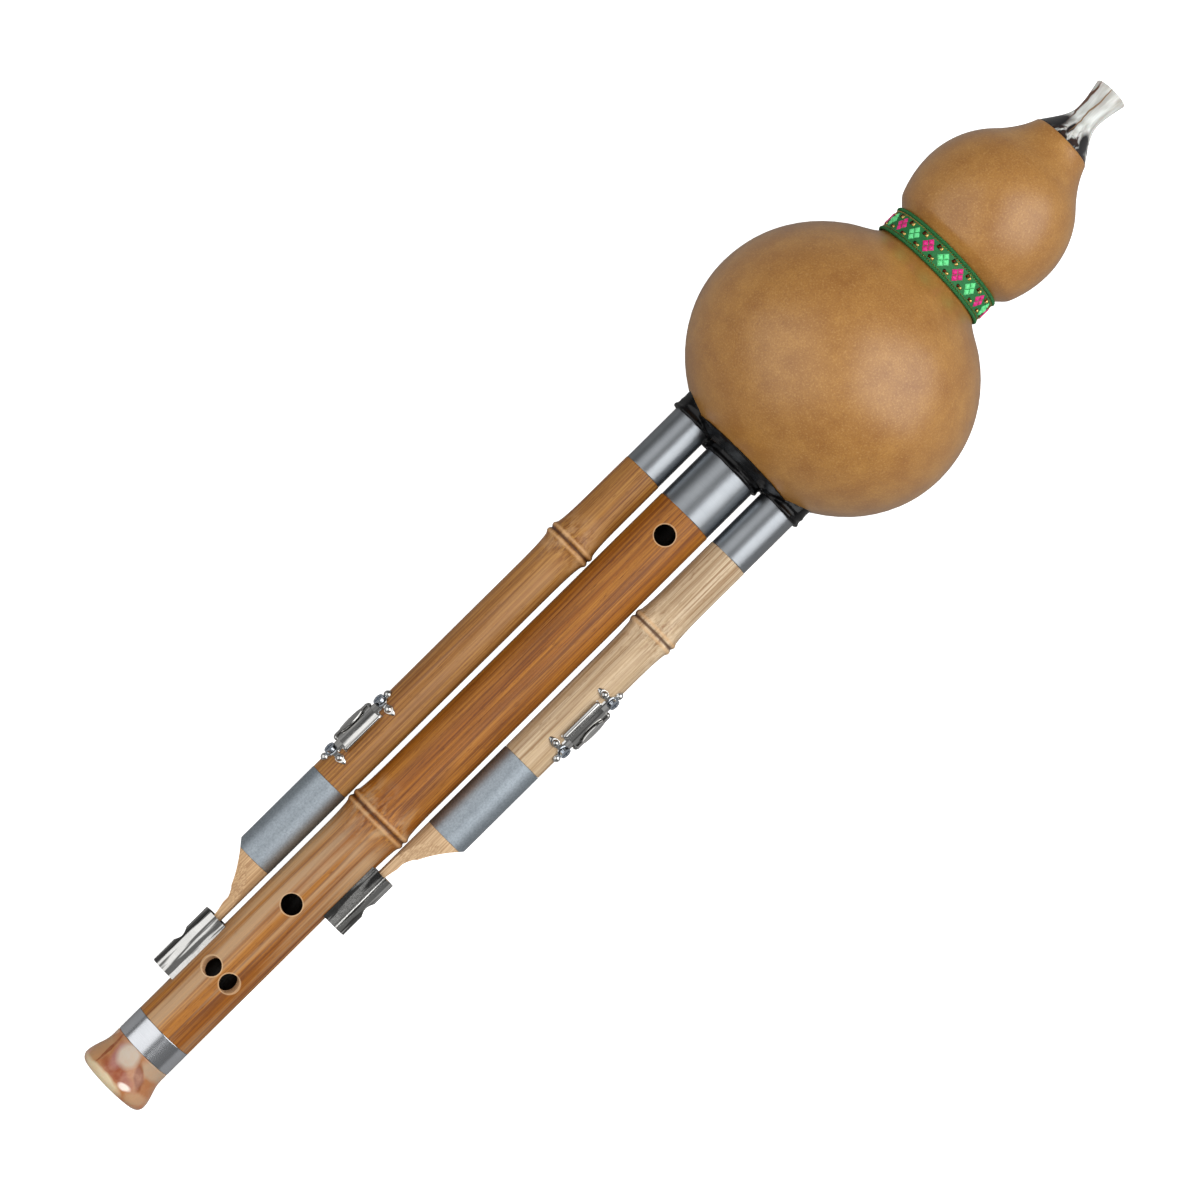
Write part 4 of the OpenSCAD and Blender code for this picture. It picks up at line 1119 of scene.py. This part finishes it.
main_rim = foot_of("wax_seat")
side_rim = float(outline("wax_seat", drone_y["long"])[0][1])
print("wax rims at", main_rim, side_rim)
collars = [collar(main_ferrule_r, main_rim, shifted_to(), wall=0.95, bead=0.35, ridge_up=2.6)]
collars += [collar(ferrule_r[kind], side_rim, at_drone[kind], wall=0.8, bead=0.6, ridge_up=3.4)
            for kind in KINDS]
lower_half = gourd_outline[:len(gourd_outline) // 2]
skirt_edge = [(r, w) for r, w in lower_half if w < gourd_low + SKIRT_UP]
skirt = [(r + SKIRT_OUT, w - SKIRT_OUT) for r, w in skirt_edge]
skirt += [(r - SKIRT_IN, w + SKIRT_LIFT) for r, w in skirt_edge[::-1]]
webs = [rod("web", WEB_R, gourd_low + foot, gourd_low + WEB_TOP, black_wax, shifted_to(y))
        for y, foot in WEBS]
skirt_piece = turn_piece("skirt", skirt, black_wax, around=120)
wax = joined("wax_seat_poured", collars + webs + [skirt_piece])
print("wax before melting:", len(wax.data.polygons), "faces")

# %% [markdown]
# Poured wax has no seams. A voxel remesh melts the parts into one skin, smoothing softens it, and
# noise dents it as a finger would. The skirt and the webs run across the drones' ferrules, so their
# bores are cleared at the end, for a drone's tenon and reed to slide in.

# %% Wax seat
WAX_VOXEL = 0.35
WAX_DENT = 0.22
WAX_DENT_SIZE = 3.0
FERRULE_HALF_WALL = 0.25
remesh = wax.modifiers.new("melt", "REMESH")
remesh.mode = "VOXEL"
remesh.voxel_size = WAX_VOXEL * MM
relax = wax.modifiers.new("relax", "SMOOTH")
relax.factor = 0.5
relax.iterations = 4
applied(wax)
wax.data.materials.clear()
wax.data.materials.append(black_wax)
dented = []
for vertex in wax.data.vertices:
    dent = soft_noise.noise(vertex.co / (WAX_DENT_SIZE * MM)) * WAX_DENT * MM
    dented.extend(vertex.co + vertex.normal * dent)
wax.data.vertices.foreach_set("co", dented)
wax.data.update()
cut(wax, *[rod("ferrule_bore", ferrule_r[kind] - FERRULE_HALF_WALL, side_rim - 1, wax_top + 1,
               black_wax, at_drone[kind]) for kind in KINDS])
finish_piece(wax, "gourd", "black_wax", "wax_seat", sharp=60)

# %% [markdown]
# Seals, reeds and pads stay as the model has them: they are hidden, or nearly, and their shapes
# are right. They only get their finishes.

# %% Inner pieces
inner_looks = {"seal_ring": seal_rubber, "reed_tube": reed_bamboo, "reed": reed_brass}
dressed = {"clip_nails": screw_zinc}
for start in ("main_", "long_drone_", "short_drone_"):
    dressed.update({start + name: look for name, look in inner_looks.items()})
for kind in KINDS:
    dressed[kind + "_switch_pad"] = pad_leather
    dressed[kind + "_switch_screws"] = screw_zinc
for node, look in dressed.items():
    cad[node].data.materials.clear()
    cad[node].data.materials.append(look)
print("kept from the model:", len(dressed))

# %% [markdown]
# The ribbon is a woven tape with a corded edge above and below. Silk diamonds, by turns pink and
# light green, are stitched round it, with bits of gold and dark foil between them and a row of
# gold stitches along each edge.

# %% Ribbon finishes
WAIST_R = 21.0


def round_mm(shader, radius):
    """How far round the waist and how far up, in millimetres"""
    where = upright_mm(shader)
    place = parts_of(where)
    turn = calc("ARCTAN2", place[1], place[0])
    return where, times(turn, radius), place[2]


def make_silk(name, base, light, thread, slant, **sockets):
    """Thread laid side by side: fine slanting lines round the waist"""
    material, shader = new_look(name, **sockets)
    where, arc, height = round_mm(shader, WAIST_R)
    slanted = calc("ADD", arc, times(height, slant))
    wave = calc("SINE", times(slanted, 2 * math.pi / thread))
    lines = spread(wave, -1.0, 1.0)
    marks = use_group(patches, Vector=where, Size=1.2, Contrast=0.2)
    colour = mix(lines, base, light)
    colour = mix(times(marks["Patch"], 0.4), colour, base)
    feed(shader, Base_Color=colour)
    bump(shader, lines, 0.5, 0.0001)
    return material


weave_green = make_silk("weave_green", (2, 66, 28), (16, 146, 70), 0.42, 0.7, Roughness=0.6)
cord_green = make_silk("cord_green", (6, 58, 22), (30, 138, 64), 0.3, 0.0, Roughness=0.6)
silk_pink = make_silk("silk_pink", (196, 8, 108), (238, 40, 146), 0.22, 1.0, Roughness=0.4)
silk_green = make_silk("silk_green", (56, 204, 104), (146, 255, 186), 0.22, -1.0, Roughness=0.4)
gold_foil = make_metal("gold_foil", 0.0, (232, 196, 120), (190, 140, 60), 0.22, 0.1)
dark_foil = make_metal("dark_foil", 0.0, (92, 44, 24), (50, 22, 14), 0.25, 0.1)
print("ribbon finishes:", weave_green.name, silk_pink.name, gold_foil.name)

# %% [markdown]
# What repeats round the waist is drawn once, at the front, and a tree puts copies of it round the
# axis. Placing each by hand would be slower and less even.

# %% Geometry Nodes: copies round the axis
ring_of, given, result = new_tree("ring_of", "GeometryNodeTree", [
    ("Copy", "Geometry"), ("Count", "Int", 12), ("Start", "Float", 0.0),
    ("Finish", "Material")], MODELS)
spots = step("GeometryNodePoints", {"Count": given["Count"]})
index = add(ring_of, "GeometryNodeInputIndex").outputs[0]
turn = times(calc("DIVIDE", index, given["Count"]), 2 * math.pi)
turn = calc("ADD", turn, given["Start"])
copied = {"Points": spots, "Instance": given["Copy"], "Rotation": vector_of(0.0, 0.0, turn)}
finish_tree(step("GeometryNodeInstanceOnPoints", copied), given["Finish"], result)
print("tree:", ring_of.name)

# %% [markdown]
# The corded edges are two strands that wind round each other. Each one follows a helix bent into a
# ring: its place swings in and out and up and down while it goes once round the waist.

# %% Geometry Nodes: a twisted cord
CORD_STEPS = 8
cording, given, result = new_tree("cording", "GeometryNodeTree", [
    ("Radius", "Float", 0.02), ("Height", "Float", 0.0), ("Strand", "Float", 0.0004),
    ("Swing", "Float", 0.0004), ("Twists", "Int", 90), ("Finish", "Material")], MODELS)
steps = times(given["Twists"], CORD_STEPS)
share = calc("DIVIDE", add(cording, "GeometryNodeInputIndex").outputs[0], steps)
round_turn = times(share, 2 * math.pi)
profile = step("GeometryNodeCurvePrimitiveCircle", {"Resolution": 7, "Radius": given["Strand"]})
strands = add(cording, "GeometryNodeJoinGeometry")
for phase in (0.0, math.pi):
    twist = calc("ADD", times(round_turn, given["Twists"]), phase)
    radius = calc("ADD", given["Radius"], times(calc("COSINE", twist), given["Swing"]))
    height = calc("ADD", given["Height"], times(calc("SINE", twist), given["Swing"]))
    place = vector_of(times(calc("COSINE", round_turn), radius),
                      times(calc("SINE", round_turn), radius), height)
    ring_curve = step("GeometryNodeCurvePrimitiveCircle", {"Resolution": steps})
    bent = step("GeometryNodeSetPosition", {"Geometry": ring_curve, "Position": place})
    tube = step("GeometryNodeCurveToMesh", {0: bent, 1: profile})
    cording.links.new(tube, strands.inputs[0])
finish_tree(strands.outputs[0], given["Finish"], result)
print("tree:", cording.name)

# %% [markdown]
# A cushion of silk is a small domed square. It is bent round the waist as it is drawn, so that
# its foot lies on the tape, and its underside is closed.

# %% Small domed shapes on the ribbon
ribbon_low, ribbon_high = extent("neck_ribbon")
ribbon_w = float(ribbon_low[2] + ribbon_high[2]) / 2
ribbon_half = float(ribbon_high[2] - ribbon_low[2]) / 2
ribbon_in = min(r for r, _ in outline("neck_ribbon"))
RIBBON_THICK = 0.7
ribbon_r = ribbon_in + RIBBON_THICK
FOOT = -0.15


def on_ribbon(arc, up, out):
    """A place on the ribbon: millimetres round it, above its middle and out of it"""
    turn, r = arc / ribbon_r, ribbon_r + out
    return Vector((r * math.cos(turn), r * math.sin(turn), ribbon_w + up)) * MM


def cushion(mesh, arc, up, half_a, half_b, degrees, dome, steps=4):
    """A domed rectangle with a flat underside, from its middle's place and its half sizes"""
    turn = math.radians(degrees)

    def corner(i, j, out):
        a, b = half_a * (2 * i / steps - 1), half_b * (2 * j / steps - 1)
        return mesh.verts.new(on_ribbon(arc + a * math.cos(turn) - b * math.sin(turn),
                                        up + a * math.sin(turn) + b * math.cos(turn), out))

    def height(i, j):
        return dome * (1 - (2 * i / steps - 1) ** 4) ** 0.5 * (1 - (2 * j / steps - 1) ** 4) ** 0.5

    top = [[corner(i, j, height(i, j)) for j in range(steps + 1)] for i in range(steps + 1)]
    for i in range(steps):
        for j in range(steps):
            mesh.faces.new((top[i][j], top[i + 1][j], top[i + 1][j + 1], top[i][j + 1]))
    border = ([(i, 0) for i in range(steps)] + [(steps, j) for j in range(steps)]
              + [(i, steps) for i in range(steps, 0, -1)] + [(0, j) for j in range(steps, 0, -1)])
    foot = [corner(i, j, FOOT) for i, j in border]
    for k, (i, j) in enumerate(border):
        i2, j2 = border[(k + 1) % len(border)]
        mesh.faces.new((top[i2][j2], top[i][j], foot[k], foot[(k + 1) % len(border)]))
    mesh.faces.new(foot)


print(f"ribbon is {2 * ribbon_half:.1f} mm wide and {ribbon_r:.1f} mm from the axis")

# %% [markdown]
# One diamond or one stitch is only a few such shapes. They are put in one small mesh, copied round
# the waist and laid down with the gourd.

# %% Shapes round the ribbon


def ring_piece(name, count, start, look, *cushions):
    """Cushions drawn once and copied round the waist; each is what cushion takes after mesh"""
    mesh = bmesh.new()
    for settings in cushions:
        cushion(mesh, *settings)
    data = bpy.data.meshes.new(name)
    mesh.to_mesh(data)
    mesh.free()
    piece = face_out(made_by(ring_of, name, data, Count=count, Start=start, Finish=look))
    piece.data.transform(LAID)
    return finish_piece(piece, "gourd", "ribbon", "neck_ribbon", sharp=60)


print("helper: ring_piece")

# %% [markdown]
# The tape itself is turned, a thin band with soft corners. The cords are sewn along its two edges
# and stand a little proud of it.

# %% Tape and corded edges
EDGE_TWISTS = 96
EDGE_STRAND = 0.34
EDGE_SWING = 0.28
EDGE_GAP = 0.08
tape_half = ribbon_half - EDGE_STRAND - EDGE_SWING
tape = [(ribbon_in, -tape_half), (ribbon_r, -tape_half), (ribbon_r, tape_half),
        (ribbon_in, tape_half)]
tape = smoothed([(r, ribbon_w + w) for r, w in tape], 0.12, 0.8)
tape_piece = turn_piece("ribbon_tape", tape, weave_green, around=160)
finish_piece(tape_piece, "gourd", "ribbon", "neck_ribbon")
edge_radius = ribbon_in + EDGE_STRAND + EDGE_SWING + EDGE_GAP
edges = [made_by(cording, "ribbon_edge", Radius=edge_radius * MM, Height=edge_w * MM,
                 Strand=EDGE_STRAND * MM, Swing=EDGE_SWING * MM, Twists=EDGE_TWISTS,
                 Finish=cord_green) for edge_w in (ribbon_w - tape_half, ribbon_w + tape_half)]
edge_cord = face_out(joined("ribbon_edges", edges))
edge_cord.data.transform(LAID)
finish_piece(edge_cord, "gourd", "ribbon", "neck_ribbon", sharp=80)

# %% [markdown]
# Four silk cushions, each set on its corner, make one diamond. Pink and green ones take turns, the
# bits of foil fill the gaps above and below, and the gold stitches slant along the edges.

# %% Diamonds, foil and stitches
DIAMOND_PAIRS = 10
SILK_HALF = 0.86
SILK_ACROSS = 1.24
SILK_UP = 1.44
SILK_DOME = 0.45
STITCHES = 140
STITCH_UP = 3.25
half_pitch = math.pi / DIAMOND_PAIRS
diamond = [(a * SILK_ACROSS, b * SILK_UP, SILK_HALF, SILK_HALF, 45, SILK_DOME)
           for a, b in ((1, 0), (-1, 0), (0, 1), (0, -1))]
ring_piece("silk_diamonds_pink", DIAMOND_PAIRS, half_pitch, silk_pink, *diamond)
ring_piece("silk_diamonds_green", DIAMOND_PAIRS, 0.0, silk_green, *diamond)
foil = [(0.62, 2.05, 0.5, 0.66, 8, 0.4), (0.55, -2.15, 0.62, 0.5, -6, 0.4)]
dark = [(-0.62, 2.15, 0.56, 0.7, -10, 0.3), (-0.6, -2.15, 0.5, 0.55, 12, 0.3)]
ring_piece("foil_gold", 2 * DIAMOND_PAIRS, half_pitch / 2, gold_foil, *foil)
ring_piece("foil_dark", 2 * DIAMOND_PAIRS, half_pitch / 2, dark_foil, *dark)
stitch = [(0.0, sign * STITCH_UP, 0.36, 0.19, sign * 25, 0.28, 2) for sign in (-1, 1)]
ring_piece("gold_stitches", STITCHES, 0.0, gold_foil, *stitch)

# %% [markdown]
# The table looks white to the camera and keeps a soft shadow, but it throws little light back, so
# that the undersides stay dark. Reflections see it darker still, which gives the metal its
# contrast. A Light Path node tells the three cases apart.

# %% Table
TABLE_SIZE = 3.0
TABLE_GLOW = 0.7
TABLE_FAR = 1.2
TABLE_SEEN = 0.8
TABLE_BOUNCE = 0.3
TABLE_SHINE = 0.24


def white_for_the_camera(tree, seen, lit, mirrored):
    """One value for what the camera sees, one for the light given and one for reflections"""
    path = add(tree, "ShaderNodeLightPath").outputs
    indirect = spread(path["Is Glossy Ray"], 0.0, 1.0, lit, mirrored)
    return spread(path["Is Camera Ray"], 0.0, 1.0, indirect, seen)


def make_table():
    material, shader = new_look("table_white", Roughness=0.9, Specular_IOR_Level=0.1)
    tree = material.node_tree
    paper = white_for_the_camera(tree, TABLE_SEEN, TABLE_BOUNCE, TABLE_SHINE)
    feed(shader, Base_Color=vector_of(paper, paper, paper))
    away = length_of(add(tree, "ShaderNodeTexCoord").outputs["Object"])
    white = spread(away, TABLE_FAR / 3, TABLE_FAR, TABLE_GLOW, 1.0)
    direct = add(tree, "ShaderNodeLightPath").outputs["Is Camera Ray"]
    glow = step("ShaderNodeEmission", {"Strength": times(direct, white)})
    total = step("ShaderNodeAddShader", {0: shader.outputs[0], 1: glow})
    tree.links.new(total, tree.nodes["Material Output"].inputs["Surface"])
    return material


table_mesh = bpy.data.meshes.new("table")
corners = [(x * TABLE_SIZE, y * TABLE_SIZE, 0.0) for x, y in ((-1, -1), (1, -1), (1, 1), (-1, 1))]
table_mesh.from_pydata(corners, [], [(0, 1, 2, 3)])
table_mesh.materials.append(make_table())
new_piece("table", table_mesh)
print("table is", 2 * TABLE_SIZE, "m wide")

# %% [markdown]
# The light comes from a bright window box low on the right and a larger, dimmer box on the left.
# Wide boxes give soft edges to the shadows and long highlights along the tubes. The room is pale,
# but reflections see it dark, like the table.

# %% Room and softboxes
ROOM_LIGHT = 0.68
ROOM_SHINE = 0.15


def softbox(name, across, up, height, width, length, brightness):
    """A soft rectangle of light, placed in the photograph's directions, aimed at its middle"""
    lamp = bpy.data.lights.new(name, "AREA")
    lamp.shape = "RECTANGLE"
    lamp.size = width
    lamp.size_y = length
    lamp.energy = brightness * math.pi * length * width
    box = bpy.data.objects.new(name, lamp)
    offset = across * right + up * above + height * back
    aimed = (-offset).to_track_quat("-Z", "Y").to_matrix().to_4x4()
    box.matrix_world = Matrix.Translation(middle_of_view + offset) @ aimed
    box.visible_camera = False
    scene.collection.objects.link(box)
    return box


room = bpy.data.worlds.new("room")
room.use_nodes = True
room_light = room.node_tree.nodes["Background"]
room_light.inputs["Color"].default_value = (1, 1, 1, 1)
feed(room_light, Strength=white_for_the_camera(room.node_tree, 1.0, ROOM_LIGHT, ROOM_SHINE))
scene.world = room
softbox("window_box", across=0.98, up=-0.12, height=0.85, width=1.4, length=1.6, brightness=2.4)
softbox("left_box", across=-0.81, up=0.12, height=1.05, width=2.0, length=1.7, brightness=1.0)
